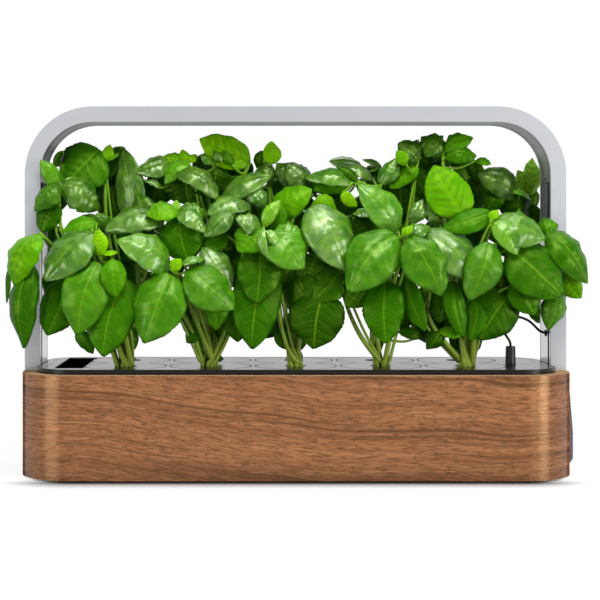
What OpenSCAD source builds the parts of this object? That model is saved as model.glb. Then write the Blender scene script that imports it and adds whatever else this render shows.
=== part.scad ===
// Countertop hydroponic garden: wood-sleeved water tank, deck with ten pods,
// light arch that lifts off, and five basil plants. Origin: centre of the base, on the table.

/* [Base] */
// Width of the base
base_w = 432; // [420:1:470]
// Depth of the base
base_d = 146; // [140:1:170]
// Plan radius of the base's corners
corner_r = 43; // [36:1:48]
// Height of the wood sleeve's top edge above the table
rim_z = 81.5; // [78:0.5:100]
// Gap between the wood and the table
wood_gap = 1.2; // [1:0.1:3]
// Thickness of the wood sleeve
wood_t = 10.5; // [9.5:0.1:13]
// Thickness of the bottom cover
cover_t = 3.6; // [3:0.1:6]
// Radius of a rubber foot
foot_r = 8; // [5:0.5:11]
// Thickness of the deck's top plate
deck_t = 2.8; // [2.5:0.1:3.5]
// Height that the deck stands above the wood
deck_proud = 4; // [3.8:0.1:6]
// Wall of the water tank
tank_t = 2.2; // [1.8:0.1:3]

/* [Pods] */
// Distance between pod columns
pod_pitch_x = 67.5; // [66:0.5:69]
// Distance between the two pod rows
pod_pitch_y = 55; // [54.5:0.5:60]
// Width of a pod's lid
pod_lid_w = 64; // [56:0.5:64.5]
// Depth of a pod's lid
pod_lid_d = 53; // [46:0.5:53]
// Radius of the plant hole in a pod's lid
plant_hole_r = 8.5; // [7:0.5:10]
// Outer radius of a pod's cage
cage_r = 20; // [17:0.5:21]
// Height of a pod's cage
cage_h = 46; // [34:1:52]

/* [Fill slot] */
// Width of the fill slot
fill_w = 20; // [12:1:22]
// Length of the fill slot
fill_l = 100; // [60:1:106]
// Centre of the fill slot from the middle of the base
fill_x = 179; // [178:0.5:183]

/* [Light arch] */
// Height of the arch's top above the table
arch_z = 292; // [270:1:340]
// Thickness of the arch's band
arch_t = 12.2; // [11.6:0.1:14]
// Depth of the arch's band
arch_d = 44; // [40:1:46]
// Outer radius of the arch's bends
arch_r = 54; // [44:1:70]
// Wall of the arch's aluminium channel
arch_wall = 2.2; // [1.8:0.1:2.6]
// Height of the diffuser's ends above the table
diffuser_z = 232; // [200:1:236]
// Depth of the arch's tongues below the wood's rim
tongue_l = 34; // [24:1:36]
// Width of the arch's tongues
tongue_w = 36; // [24:1:38]
// LED chips in each of the two rows
led_n = 14; // [6:1:20]

/* [Light lead] */
// Diameter of the light lead
lead_d = 2; // [1.6:0.1:2.6]
// Place of the lead's plug along the base
plug_x = 174; // [170:0.5:178]
// Place of the lead's plug across the base
plug_y = -8; // [-10:0.5:-4]
// Height of the plug's grip
plug_h = 14.2; // [10:0.2:18]

/* [Side paddle] */
// Width of the paddle
paddle_w = 33; // [24:1:34]
// Height of the paddle's hinge pin above the table
paddle_z = 66; // [60:1:68]
// How far the paddle's lower part stands out of the wood
paddle_out = 6.6; // [5:0.2:9]

/* [Plants] */
// Height of the foliage's top above the table
foliage_z = 272; // [230:1:274]
// Reach of the outer plants' leaves from the middle
foliage_reach = 230; // [224:1:250]
// Length of a full-grown leaf
leaf_l = 72; // [50:1:80]
// Width of a full-grown leaf
leaf_w = 48; // [30:1:52]

/* [Hidden] */
$fn = 64;

// Clearances
eps = 0.01;            // overshoot of a cut past a face
seat_gap = 0.3;        // between pieces that lie beside each other
slip_gap = 0.3;        // between pieces that slide or turn past each other
joint_gap = 0.35;      // visible joints in the deck

// Heights
cover_z = 0.4;                          // underside of the bottom cover
cover_top = cover_z + cover_t;
deck_z = rim_z + deck_proud;            // top of the deck
deck_plate_z = deck_z - deck_t;         // underside of the deck's plate
seal_t = 1.4;
deck_foot_z = rim_z - 0.3;              // underside of the deck's edge
tank_top = deck_foot_z - seal_t;

// Plan sizes
cover_lap = 5;                          // how far the bottom cover reaches under the wood
wood_in = wood_t;                       // inset of the wood's inner face
deck_in = wood_in + 0.4;                // inset of the deck's edge
tank_in = wood_in + 0.9;                // inset of the tank's outer face
edge_w = 3;                             // width of the deck's edge rib

// Electronics bay
bay_x = 2 * pod_pitch_x + cage_r + tank_t + 0.5;   // where the tank's dry bay starts
bay_end_x = base_w / 2 - tank_in - tank_t;
floor_z = cover_top + tank_t;           // top of the tank's floor
boss_h = 6;
boss_r = 3;
board_z = floor_z + boss_h;
board_t = 1.6;
board_top = board_z + board_t;
board_w = 40;
board_l = 80;
board_x = (bay_x + bay_end_x) / 2;
board_hole_r = 1.3;
board_inset = 5;
// What stands on the board: corners or middle from the board's middle, and sizes
processor_at = [-12, 8];
processor_size = [18, 18, 2.2];
terminal_at = [-14, -30];
terminal_size = [10, 18, 6];
capacitor_at = [8, -26];
capacitor_r = 5;
capacitor_h = 11;

// Arch
arch_x = base_w / 2;                    // outer face of the legs
leg_x = arch_x - arch_t;                // inner face of the legs
arch_lip = 3;                           // width of the channel's front and back walls
liner_t = 1.8;
liner_d = arch_d - 2 * arch_lip - 0.6;
tongue_t = 2.2;
tongue_x = arch_x - arch_wall - 7.4;    // inner face of a tongue
tongue_up = 24;                         // length of a tongue inside its leg
socket_wall = 1;
socket_in_x = tongue_x - slip_gap - socket_wall;
socket_out_x = tongue_x + tongue_t + slip_gap + socket_wall;
socket_h = tongue_l + 3;
socket_d = tongue_w + 2 * (slip_gap + socket_wall);
notch_gap = 0.9;                        // dark gap between leg and deck
bezel_w = 5.6;
bezel_t = 1.2;
bezel_d = 74;
tongue_screw_r = 1.5;

// Lead socket and plug
jack_pin_r = 2.7;
jack_pin_l = 11;
lead_socket_r = 5;
lead_socket_h = 16;

// The lead's route from the plug's top to the grommet: x, y, z, chosen by hand
grommet_z = 110;
grommet_proud = 0.8;
lead_end_x = leg_x - grommet_proud;
lead_route = [
    [plug_x, plug_y, deck_z + plug_h], [173.6, -8, 103], [171, -8, 107.4],
    [168, -8.2, 111.6], [165.4, -8.2, 115.4], [165, -8, 119],
    [168, -7.4, 121.8], [173, -6.8, 123.2], [178.6, -6, 123.4], [184.6, -5, 122.2],
    [190, -4, 119.6], [194.6, -3, 115.6], [198.6, -2.2, 111.8], [lead_end_x, -2, grommet_z]
];
lead_sides = 8;

// Paddle
paddle_top = paddle_z + 3.4;
paddle_foot = 5.2;
bezel_plate_t = 1;
paddle_pocket = 3.2;                    // depth of the pocket in the wood's outer face
press_gap = 1.7;                        // room behind the paddle for its press
paddle_back_x = arch_x - paddle_pocket + bezel_plate_t + press_gap;
paddle_pin_r = 1;
paddle_pin_x = arch_x + 1.4;
cheek_t = 1.4;
pocket_w = paddle_w + 2 * (slip_gap + cheek_t) + 0.4;
switch_z = 34;
switch_box = 6.4;
switch_l = 5;
switch_housing_t = 1.2;
plunger_r = 1.5;
plunger_l = 5.4;

// Power jack
jack_x = bay_x + 8.8;
jack_z = 24;
jack_r = 5.6;
jack_bore_r = 2.8;
jack_bore_l = 9.6;
jack_flange_t = 1.6;
jack_flange_r = 7.2;

// Level sensor
level_x = -1.5 * pod_pitch_x;
stem_r = 3;
stem_foot = floor_z + 3;
clip_t = 2;
clip_r = 6;
float_r = 12;
float_h = 16;
float_travel = 30;
stop_z = stem_foot + clip_t + 0.3 + float_h + float_travel + 0.5;

wood_tone = [0.52, 0.35, 0.23];
black_plastic = [0.09, 0.09, 0.09];
grey_metal = [0.70, 0.71, 0.73];
green = [0.26, 0.46, 0.10];

// Rounded base outline, drawn in by an inset from the wood's outer face
module base_outline(inset) {
    w = base_w - 2 * inset;
    d = base_d - 2 * inset;
    r = corner_r - inset;
    union() {
        square([w - 2 * r, d], center = true);
        square([w, d - 2 * r], center = true);
        for (sx = [-1, 1], sy = [-1, 1]) translate([sx * (w / 2 - r), sy * (d / 2 - r)]) circle(r);
    }
}

module base_slab(inset, z0, z1) {
    translate([0, 0, z0]) linear_extrude(z1 - z0) base_outline(inset);
}

module box(x0, x1, y0, y1, z0, z1) {
    translate([x0, y0, z0]) cube([x1 - x0, y1 - y0, z1 - z0]);
}

// Box on the right end (side 1) or the left end (side -1)
module end_box(side, x0, x1, half_y, z0, z1) {
    if (side > 0) box(x0, x1, -half_y, half_y, z0, z1);
    else box(-x1, -x0, -half_y, half_y, z0, z1);
}

module x_rod(x0, x1, y, z, r) {
    translate([x0, y, z]) rotate([0, 90, 0]) cylinder(r = r, h = x1 - x0);
}

module y_rod(x, y0, y1, z, r) {
    translate([x, y1, z]) rotate([90, 0, 0]) cylinder(r = r, h = y1 - y0);
}

// Screw places under the base
screw_pitch = 130;
function screw_spots() = [
    for (i = [-1, 0, 1], sy = [-1, 1]) [i * screw_pitch, sy * (base_d / 2 - wood_t + cover_lap / 2)]
];
screw_r = 1.25;
screw_head_r = 2.3;
screw_head_t = 1.2;
screw_l = 14;

module wood_sleeve() {
    color(wood_tone) difference() {
        base_slab(0, wood_gap, rim_z);
        base_slab(wood_in, wood_gap - 1, rim_z + 1);
        base_slab(wood_in - cover_lap - seat_gap, wood_gap - 1, cover_top);
        for (side = [-1, 1])
            end_box(side, socket_in_x - 3, socket_out_x + seat_gap, socket_d / 2 + seat_gap,
                rim_z - socket_h - seat_gap, rim_z + 1);
        for (p = screw_spots()) translate([p[0], p[1], cover_top - 1])
            cylinder(r = screw_r + 0.1, h = screw_l);
        y_rod(jack_x, base_d / 2 - wood_t - 1, base_d / 2 + 1, jack_z, jack_r + seat_gap);
        y_rod(jack_x, base_d / 2 - jack_flange_t, base_d / 2 + 1, jack_z, jack_flange_r + seat_gap);
        box(arch_x - paddle_pocket, arch_x + 1, -pocket_w / 2, pocket_w / 2,
            paddle_foot - 0.8, paddle_top + 0.8);
        switch_cut = switch_box / 2 + switch_housing_t + seat_gap;
        box(arch_x - wood_t - 1, arch_x, -switch_cut, switch_cut,
            switch_z - switch_cut, switch_z + switch_cut);
    }
}

foot_in_x = 38;
foot_in_y = 27;
foot_x = base_w / 2 - foot_in_x;
foot_y = base_d / 2 - foot_in_y;
foot_h = 2.4;

module at_feet() {
    for (sx = [-1, 1], sy = [-1, 1]) translate([sx * foot_x, sy * foot_y, 0]) children();
}

module bottom_cover() {
    color(black_plastic) difference() {
        base_slab(wood_in - cover_lap, cover_z, cover_top);
        at_feet() translate([0, 0, cover_z - 1]) cylinder(r = foot_r + 0.2, h = foot_h - cover_z + 1);
        for (p = screw_spots()) translate([p[0], p[1], 0]) {
            cylinder(r = screw_head_r + 0.2, h = cover_z + 0.2 + screw_head_t);
            cylinder(r = screw_r + 0.15, h = cover_top + 1);
        }
    }
}

module rubber_feet() {
    color([0.13, 0.13, 0.13]) at_feet() cylinder(r = foot_r, h = foot_h);
}

module bottom_screws() {
    color("silver") for (p = screw_spots()) translate([p[0], p[1], cover_z + 0.2]) {
        cylinder(r = screw_head_r, h = screw_head_t);
        cylinder(r = screw_r, h = screw_l - 1);
    }
}

module water_tank() {
    color([0.14, 0.14, 0.15]) difference() {
        union() {
            difference() {
                base_slab(tank_in, cover_top, tank_top);
                base_slab(tank_in + tank_t, floor_z, tank_top + 1);
            }
            // Wall between the water and the dry bay
            intersection() {
                base_slab(tank_in + 1, cover_top, tank_top);
                box(bay_x - tank_t, bay_x, -base_d, base_d, cover_top, tank_top);
            }
            for (sx = [-1, 1], sy = [-1, 1])
                translate(board_corner(sx, sy, floor_z - 1))
                    cylinder(r = boss_r, h = boss_h + 1);
        }
        for (sx = [-1, 1], sy = [-1, 1])
            translate(board_corner(sx, sy, floor_z + 0.5))
                cylinder(r = board_hole_r + 0.1, h = boss_h + 1);
        y_rod(jack_x, base_d / 2 - wood_t - 6, base_d / 2, jack_z, jack_r + seat_gap);
        x_rod(bay_end_x - 1, arch_x, 0, switch_z, cable_r + seat_gap);
    }
}

module deck_seal() {
    color([0.25, 0.25, 0.25]) difference() {
        base_slab(tank_in, tank_top, deck_foot_z);
        base_slab(tank_in + tank_t, tank_top - 1, deck_foot_z + 1);
    }
}

// Oval outline of a pod's lid, grown by a margin
module pod_outline(grow) {
    r = pod_lid_d / 2 + grow;
    straight = (pod_lid_w - pod_lid_d) / 2;
    union() {
        square([2 * straight, 2 * r], center = true);
        for (s = [-1, 1]) translate([s * straight, 0]) circle(r);
    }
}

function pod_x(column) = (column - 3) * pod_pitch_x;
function pod_y(row) = row * pod_pitch_y / 2;
lid_t = 1.8;
ledge_w = 2.5;

module leg_notch(side) {
    end_box(side, leg_x - notch_gap, arch_x + 1, arch_d / 2 + 0.6, tank_top, deck_z + 1);
}

module bezel_outline(side, grow) {
    intersection() {
        base_outline(deck_in);
        translate([side * (leg_x - notch_gap - bezel_w - grow + arch_t), 0])
            square([2 * arch_t, bezel_d + 2 * grow], center = true);
    }
}

module deck() {
    lip_x = fill_x - fill_w / 2;
    color(black_plastic) difference() {
        union() {
            base_slab(deck_in, deck_plate_z, deck_z);
            difference() {
                base_slab(deck_in, deck_foot_z, deck_z);
                base_slab(deck_in + edge_w, deck_foot_z - 1, deck_z);
            }
            // Raised land under each bezel
            for (side = [-1, 1]) intersection() {
                base_slab(deck_in + 1, deck_plate_z - 1, deck_z);
                end_box(side, leg_x - notch_gap - bezel_w - 2, arch_x, bezel_d / 2 + 2,
                    deck_plate_z - 1, deck_z);
            }
        }
        for (column = [1:5], row = [-1, 1]) translate([pod_x(column), pod_y(row), 0]) {
            translate([0, 0, deck_z - lid_t]) linear_extrude(lid_t + 1) pod_outline(joint_gap);
            translate([0, 0, deck_foot_z - 1]) cylinder(r = cage_r + seat_gap, h = deck_z);
        }
        for (side = [-1, 1]) {
            leg_notch(side);
            translate([0, 0, deck_z - bezel_t]) linear_extrude(bezel_t + 1) bezel_outline(side, joint_gap);
        }
        box(-fill_x - fill_w / 2, -lip_x, -fill_l / 2, fill_l / 2, deck_foot_z - 2, deck_z + 1);
        // Sloped lip on the slot's inner side
        translate([-lip_x, fill_l / 2, deck_z]) rotate([90, 0, 0]) linear_extrude(fill_l)
            polygon([[-1, 1], [-1, -1.8], [0, -1.8], [4.2, 0], [4.2, 1]]);
        translate([plug_x, plug_y, deck_plate_z - 3]) cylinder(r = lead_socket_r + 0.15, h = 9);
    }
}

module leg_bezel(side) {
    color([0.16, 0.16, 0.16]) difference() {
        translate([0, 0, deck_z - bezel_t]) linear_extrude(bezel_t) bezel_outline(side, 0);
        leg_notch(side);
    }
}

module leg_socket(side) {
    color([0.2, 0.2, 0.2]) difference() {
        end_box(side, socket_in_x, socket_out_x, socket_d / 2, rim_z - socket_h, rim_z - 0.2);
        end_box(side, tongue_x - slip_gap, tongue_x + tongue_t + slip_gap, tongue_w / 2 + slip_gap,
            rim_z - socket_h + 1.5, rim_z + 1);
    }
}

// Pod: oval lid with its round cage, open at the bottom where the grow plug goes in
module pod(column, row) {
    cage_z = deck_z - cage_h;
    color([0.11, 0.11, 0.11]) translate([pod_x(column), pod_y(row), 0]) difference() {
        union() {
            translate([0, 0, deck_z - lid_t]) linear_extrude(lid_t) pod_outline(0);
            translate([0, 0, cage_z]) cylinder(r = cage_r, h = cage_h - 0.5);
        }
        translate([0, 0, deck_z - 5]) cylinder(r = plant_hole_r, h = 6);
        translate([0, 0, cage_z - 1]) cylinder(r = cage_r - 1.6, h = cage_h + 1 - lid_t - 0.8);
        for (turn = [0, 60, 120]) rotate([0, 0, turn])
            translate([-cage_r - 1, -2, cage_z + 4]) cube([2 * cage_r + 2, 4, cage_h - 22]);
    }
}

plug_top = deck_z - lid_t - 1.6;

module grow_plug(column, row) {
    color([0.23, 0.15, 0.09]) translate([pod_x(column), pod_y(row), plug_top - cage_h + 6])
        cylinder(r = cage_r - 1.6 - 0.2, h = cage_h - 6);
}

// Light arch: outline of the hoop in its own plane, drawn in by an inset
module hoop_outline(inset, foot) {
    w = arch_x - inset;
    r = arch_r - inset;
    intersection() {
        union() {
            translate([-w, foot]) square([2 * w, arch_z - arch_r - foot]);
            translate([-(arch_x - arch_r), foot]) square([2 * (arch_x - arch_r), arch_z - inset - foot]);
            for (s = [-1, 1]) translate([s * (arch_x - arch_r), arch_z - arch_r]) circle(r);
        }
        translate([-arch_x - 1, foot]) square([2 * arch_x + 2, arch_z]);
    }
}

// Band of the hoop between two insets, over a depth, from foot to top
module hoop_band(inset0, inset1, depth, foot) {
    translate([0, depth / 2, 0]) rotate([90, 0, 0]) linear_extrude(depth) difference() {
        hoop_outline(inset0, foot);
        hoop_outline(inset1, foot - 1);
    }
}

module arch_frame() {
    color(grey_metal) difference() {
        hoop_band(0, arch_t, arch_d, rim_z);
        hoop_band(arch_wall, arch_t + 1, arch_d - 2 * arch_lip, rim_z - 1);
    }
}

module arch_liner(side) {
    color([0.62, 0.63, 0.65]) difference() {
        end_box(side, leg_x, leg_x + liner_t, liner_d / 2, rim_z + 0.5, diffuser_z - joint_gap);
        if (side > 0) x_rod(leg_x - 1, leg_x + liner_t + 1, -2, grommet_z, grommet_r + 0.15);
    }
}

module light_diffuser() {
    recess = 0.4;
    color([0.80, 0.80, 0.78]) hoop_band(arch_t - recess - 1.6, arch_t - recess, liner_d, diffuser_z);
}

module arch_tongue(side) {
    color("silver") union() {
        end_box(side, tongue_x, tongue_x + tongue_t, tongue_w / 2, rim_z - tongue_l, rim_z + tongue_up);
        // Pad that spaces the tongue off the channel's outer wall
        end_box(side, tongue_x + 1, arch_x - arch_wall, tongue_w / 2, rim_z + 4, rim_z + tongue_up);
    }
}

module tongue_screws() {
    color("silver") for (side = [-1, 1], sy = [-1, 1])
        translate([side * tongue_x, sy * tongue_w / 4, rim_z + tongue_up - 8])
            rotate([0, side * -90, 0])
                cylinder(r = tongue_screw_r + 1, h = tongue_x - leg_x - liner_t - 0.2);
}

led_board_gap = 2;      // from the board's ends to the bends
led_board_half = arch_x - arch_r - led_board_gap;
led_board_w = 28;
led_board_t = 1.6;
led_board_z = arch_z - arch_wall - led_board_t;
led_row_y = 7;
led_end = 8;            // from the board's ends to the first chips
chip_w = 5;
chip_t = 1.2;

module led_board() {
    color("white") box(-led_board_half, led_board_half, -led_board_w / 2, led_board_w / 2,
        led_board_z, led_board_z + led_board_t);
}

module led_chips() {
    first_x = -led_board_half + led_end;
    step = -2 * first_x / (led_n - 1);
    color([0.95, 0.85, 0.45]) for (i = [0:led_n - 1], sy = [-1, 1])
        translate([first_x + i * step - chip_w / 2, sy * led_row_y - chip_w / 2, led_board_z - chip_t])
            cube([chip_w, chip_w, chip_t]);
}

cable_r = 1.2;
grommet_r = 2.6;
wire_x = leg_x + 5;

// Wire inside the right leg, from the grommet up and round the bend to the LED board
module led_wire() {
    bend_r = wire_x - (arch_x - arch_r);
    color("black") {
        x_rod(leg_x + liner_t + 0.4, wire_x, -2, grommet_z, lead_d / 2);
        translate([wire_x, -2, grommet_z]) sphere(r = lead_d / 2);
        translate([wire_x, -2, grommet_z]) cylinder(r = lead_d / 2, h = arch_z - arch_r - grommet_z);
        translate([arch_x - arch_r, -2, arch_z - arch_r]) rotate([90, 0, 0])
            rotate_extrude(angle = 90) translate([bend_r, 0]) circle(r = lead_d / 2, $fn = 24);
        x_rod(led_board_half, arch_x - arch_r, -2, arch_z - arch_r + bend_r, lead_d / 2);
    }
}

module lead_grommet() {
    color("black") x_rod(lead_end_x, leg_x + liner_t + 0.4, -2, grommet_z, grommet_r);
}

// Tube with flat ends swept along a route, its rings square to the path
function unit(v) = v / norm(v);
function heading(p, i) = unit(i == 0 ? [0, 0, 1] : i == len(p) - 1 ? [1, 0, 0] : p[i + 1] - p[i - 1]);
function tube_ring(p, i, r, sides) =
    let (t = heading(p, i), across = unit(cross([0, 1, 0], t)), up = cross(t, across))
    [for (k = [0:sides - 1]) p[i] + r * (cos(360 * k / sides) * across + sin(360 * k / sides) * up)];

module tube(p, r, sides) {
    n = len(p);
    points = [for (i = [0:n - 1]) each tube_ring(p, i, r, sides)];
    walls = [
        for (i = [0:n - 2], k = [0:sides - 1])
            let (a = i * sides + k, b = i * sides + (k + 1) % sides)
                each [[a, a + sides, b], [b, a + sides, b + sides]]
    ];
    ends = [[for (k = [0:sides - 1]) k], [for (k = [sides - 1:-1:0]) (n - 1) * sides + k]];
    polyhedron(points, concat(walls, ends));
}

module light_lead() {
    color("black") tube(lead_route, lead_d / 2, lead_sides);
}

module lead_plug() {
    color("black") translate([plug_x, plug_y, deck_z]) union() {
        translate([0, 0, 0.1]) cylinder(r1 = 4.2, r2 = 3.8, h = plug_h - 0.1);
        translate([0, 0, -jack_pin_l]) cylinder(r = jack_pin_r, h = jack_pin_l + 1);
    }
}

module lead_socket() {
    color([0.15, 0.15, 0.15]) translate([plug_x, plug_y, deck_z - lead_socket_h]) difference() {
        union() {
            cylinder(r = lead_socket_r, h = lead_socket_h - 0.2);
            cylinder(r = lead_socket_r + 2, h = deck_plate_z - deck_z + lead_socket_h);
        }
        translate([0, 0, lead_socket_h - jack_pin_l - 1])
            cylinder(r = jack_pin_r + slip_gap, h = lead_socket_h);
    }
}

function board_corner(sx, sy, z) =
    [board_x + sx * (board_w / 2 - board_inset), sy * (board_l / 2 - board_inset), z];

module control_board() {
    color([0.05, 0.30, 0.18]) difference() {
        union() {
            box(board_x - board_w / 2, board_x + board_w / 2, -board_l / 2, board_l / 2, board_z, board_top);
            translate([board_x + processor_at[0], processor_at[1], board_top - eps]) cube(processor_size);
            translate([board_x + terminal_at[0], terminal_at[1], board_top - eps]) cube(terminal_size);
            translate([board_x + capacitor_at[0], capacitor_at[1], board_top - eps])
                cylinder(r = capacitor_r, h = capacitor_h);
        }
        for (sx = [-1, 1], sy = [-1, 1])
            translate(board_corner(sx, sy, board_z - 1))
                cylinder(r = board_hole_r + 0.2, h = 4);
    }
}

module board_screws() {
    color("silver") for (sx = [-1, 1], sy = [-1, 1])
        translate(board_corner(sx, sy, 0)) {
            translate([0, 0, board_top]) cylinder(r = 2.4, h = 1.2);
            translate([0, 0, board_z - 4]) cylinder(r = board_hole_r - 0.1, h = 5.5);
        }
}

// Cables in the base: level sensor, lead socket, jack and push switch, all to the board
module inner_cables() {
    run_z = deck_plate_z - cable_r - 0.2;
    drop_x = bay_x + 6;
    switch_x = arch_x - wood_t + 0.4;
    color("black") {
        x_rod(level_x + stem_r + 2 + seat_gap, drop_x, 0, run_z, cable_r);
        translate([drop_x, 0, run_z]) sphere(r = cable_r);
        translate([drop_x, 0, board_top]) cylinder(r = cable_r, h = run_z - board_top);
        translate([plug_x, plug_y, board_top]) cylinder(r = cable_r, h = deck_z - lead_socket_h - board_top);
        translate([jack_x, jack_back_y - 4, board_top]) cylinder(r = cable_r, h = jack_z - board_top);
        translate([jack_x, jack_back_y - 4, jack_z]) sphere(r = cable_r);
        y_rod(jack_x, jack_back_y - 4, jack_back_y, jack_z, cable_r);
        translate([switch_drop_x, 0, board_top]) cylinder(r = cable_r, h = switch_z - board_top);
        translate([switch_drop_x, 0, switch_z]) sphere(r = cable_r);
        x_rod(switch_drop_x, switch_x, 0, switch_z, cable_r);
    }
}

switch_drop_x = board_x + board_w / 2 - 3;
jack_back_y = base_d / 2 - wood_t - tank_in + wood_in - tank_t - 7;

module power_jack() {
    color([0.08, 0.08, 0.08]) difference() {
        union() {
            y_rod(jack_x, jack_back_y, base_d / 2 - 0.6, jack_z, jack_r);
            y_rod(jack_x, base_d / 2 - jack_flange_t, base_d / 2 - 0.4, jack_z, jack_flange_r);
        }
        y_rod(jack_x, base_d / 2 - 0.4 - jack_bore_l, base_d / 2 + 1, jack_z, jack_bore_r);
    }
}

module jack_nut() {
    nut_y = base_d / 2 - tank_in - tank_t;
    color("silver") difference() {
        translate([jack_x, nut_y - 0.1, jack_z]) rotate([90, 0, 0])
            cylinder(r = jack_r + 2.6, h = 3, $fn = 6);
        y_rod(jack_x, nut_y - 5, nut_y + 1, jack_z, jack_r + 0.05);
    }
}

// Paddle on the right end: a wedge that is thickest below, hinged at its top
module side_paddle() {
    color([0.42, 0.41, 0.44]) difference() {
        union() {
            translate([0, paddle_w / 2, 0]) rotate([90, 0, 0]) linear_extrude(paddle_w) polygon([
                [paddle_back_x, paddle_foot + 1.4], [arch_x + paddle_out - 2.6, paddle_foot + 1.4],
                [arch_x + paddle_out, paddle_foot + 5], [arch_x + paddle_out, paddle_foot + 26],
                [arch_x + 3.8, paddle_z], [arch_x + 2.6, paddle_top], [paddle_back_x, paddle_top]
            ]);
        }
        y_rod(paddle_pin_x, -paddle_w, paddle_w, paddle_z, paddle_pin_r + 0.05);
    }
}

module paddle_pin() {
    half = paddle_w / 2 + slip_gap + cheek_t - 0.2;
    color("silver") y_rod(paddle_pin_x, -half, half, paddle_z, paddle_pin_r);
}

module paddle_bezel() {
    housing = switch_box / 2 + switch_housing_t;
    cheek = paddle_w / 2 + slip_gap;
    plate_x = arch_x - paddle_pocket;
    color(black_plastic) difference() {
        union() {
            box(plate_x, plate_x + bezel_plate_t, -cheek - cheek_t, cheek + cheek_t,
                paddle_foot - 0.6, paddle_top + 0.6);
            for (s = [-1, 1]) translate([0, s * (cheek + cheek_t / 2) + cheek_t / 2, 0]) rotate([90, 0, 0])
                linear_extrude(cheek_t) polygon([
                    [plate_x, paddle_foot - 0.6], [arch_x + 0.6, paddle_foot - 0.6],
                    [arch_x + 0.6, paddle_z - 6],
                    [arch_x + 3.2, paddle_z - 2], [arch_x + 3.2, paddle_z + 2],
                    [arch_x + 0.6, paddle_top + 0.6],
                    [plate_x, paddle_top + 0.6]
                ]);
            box(arch_x - wood_t + 0.4, plate_x + 0.5, -housing, housing,
                switch_z - housing, switch_z + housing);
        }
        box(arch_x - wood_t - 1, plate_x - 0.8, -switch_box / 2, switch_box / 2,
            switch_z - switch_box / 2, switch_z + switch_box / 2);
        x_rod(plate_x - 3, plate_x + 3, 0, switch_z, plunger_r + 0.6);
        for (s = [-1, 1]) y_rod(paddle_pin_x, s * cheek - 2, s * cheek + 2, paddle_z, paddle_pin_r + 0.01);
    }
}

module push_switch() {
    front_x = arch_x - paddle_pocket - 0.8;
    half = switch_box / 2 - 0.1;
    color([0.3, 0.3, 0.32]) difference() {
        box(front_x - switch_l, front_x, -half, half, switch_z - half, switch_z + half);
        x_rod(front_x - 3.6, front_x + 1, 0, switch_z, plunger_r + slip_gap);
    }
}

module switch_plunger() {
    color("ivory") x_rod(paddle_back_x - plunger_l, paddle_back_x, 0, switch_z, plunger_r);
}

module level_stem() {
    color([0.75, 0.75, 0.75]) translate([level_x, 0, 0]) union() {
        translate([0, 0, stem_foot]) cylinder(r = stem_r, h = deck_plate_z - stem_foot);
        translate([0, 0, stop_z]) cylinder(r = clip_r, h = 2.5);
        translate([0, 0, deck_plate_z - 4]) cylinder(r = stem_r + 2, h = 4);
    }
}

module level_float() {
    color("white") translate([level_x, 0, stem_foot + clip_t + 0.3]) difference() {
        cylinder(r = float_r, h = float_h);
        translate([0, 0, -1]) cylinder(r = stem_r + slip_gap, h = float_h + 2);
    }
}

module float_clip() {
    color("silver") translate([level_x, 0, stem_foot]) difference() {
        cylinder(r = clip_r, h = clip_t);
        translate([0, 0, -1]) cylinder(r = stem_r + 0.05, h = clip_t + 2);
    }
}

// Basil. A leaf is an arched blade with hanging edges: rings of four points along its midrib
leaf_t = 1.6;
leaf_rings = [0.1, 0.36, 0.64, 0.87];
edge_fall = 0.25;      // how far a blade's edges hang below its midrib, as a share of its half width

function facing(turn, tilt) = [sin(turn) * cos(tilt), -cos(turn) * cos(tilt), sin(tilt)];
function blade_share(s) = 2.32 * pow(s, 0.5) * pow(1 - s, 0.75);
function blade_arch(tilt) = 0.05 + 0.003 * max(0, tilt);
function ring_points(mid, across, up, half) = [
    mid - across * half - up * edge_fall * half,
    mid - up * leaf_t / 2,
    mid + across * half - up * edge_fall * half,
    mid + up * leaf_t / 2
];

module leaf(foot, tip, width, turn, tilt) {
    n = len(leaf_rings);
    chord = tip - foot;
    along = unit(chord);
    face = facing(turn, tilt);
    up = unit(face - (face * along) * along);
    across = cross(up, along);
    rise = 4 * blade_arch(tilt) * norm(chord);
    points = concat(
        [foot],
        [for (s = leaf_rings) each ring_points(
            foot + chord * s + up * rise * s * (1 - s), across, up, width / 2 * blade_share(s))],
        [tip]
    );
    last = 4 * n + 1;
    faces = concat(
        [for (k = [0:3]) [0, 1 + k, 1 + (k + 1) % 4]],
        [for (i = [0:n - 2], k = [0:3]) let (a = 1 + 4 * i + k, b = 1 + 4 * i + (k + 1) % 4)
            each [[a, a + 4, b], [b, a + 4, b + 4]]],
        [for (k = [0:3]) [last, last - 4 + (k + 1) % 4, last - 4 + k]]
    );
    polyhedron(points, faces);
}

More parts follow.
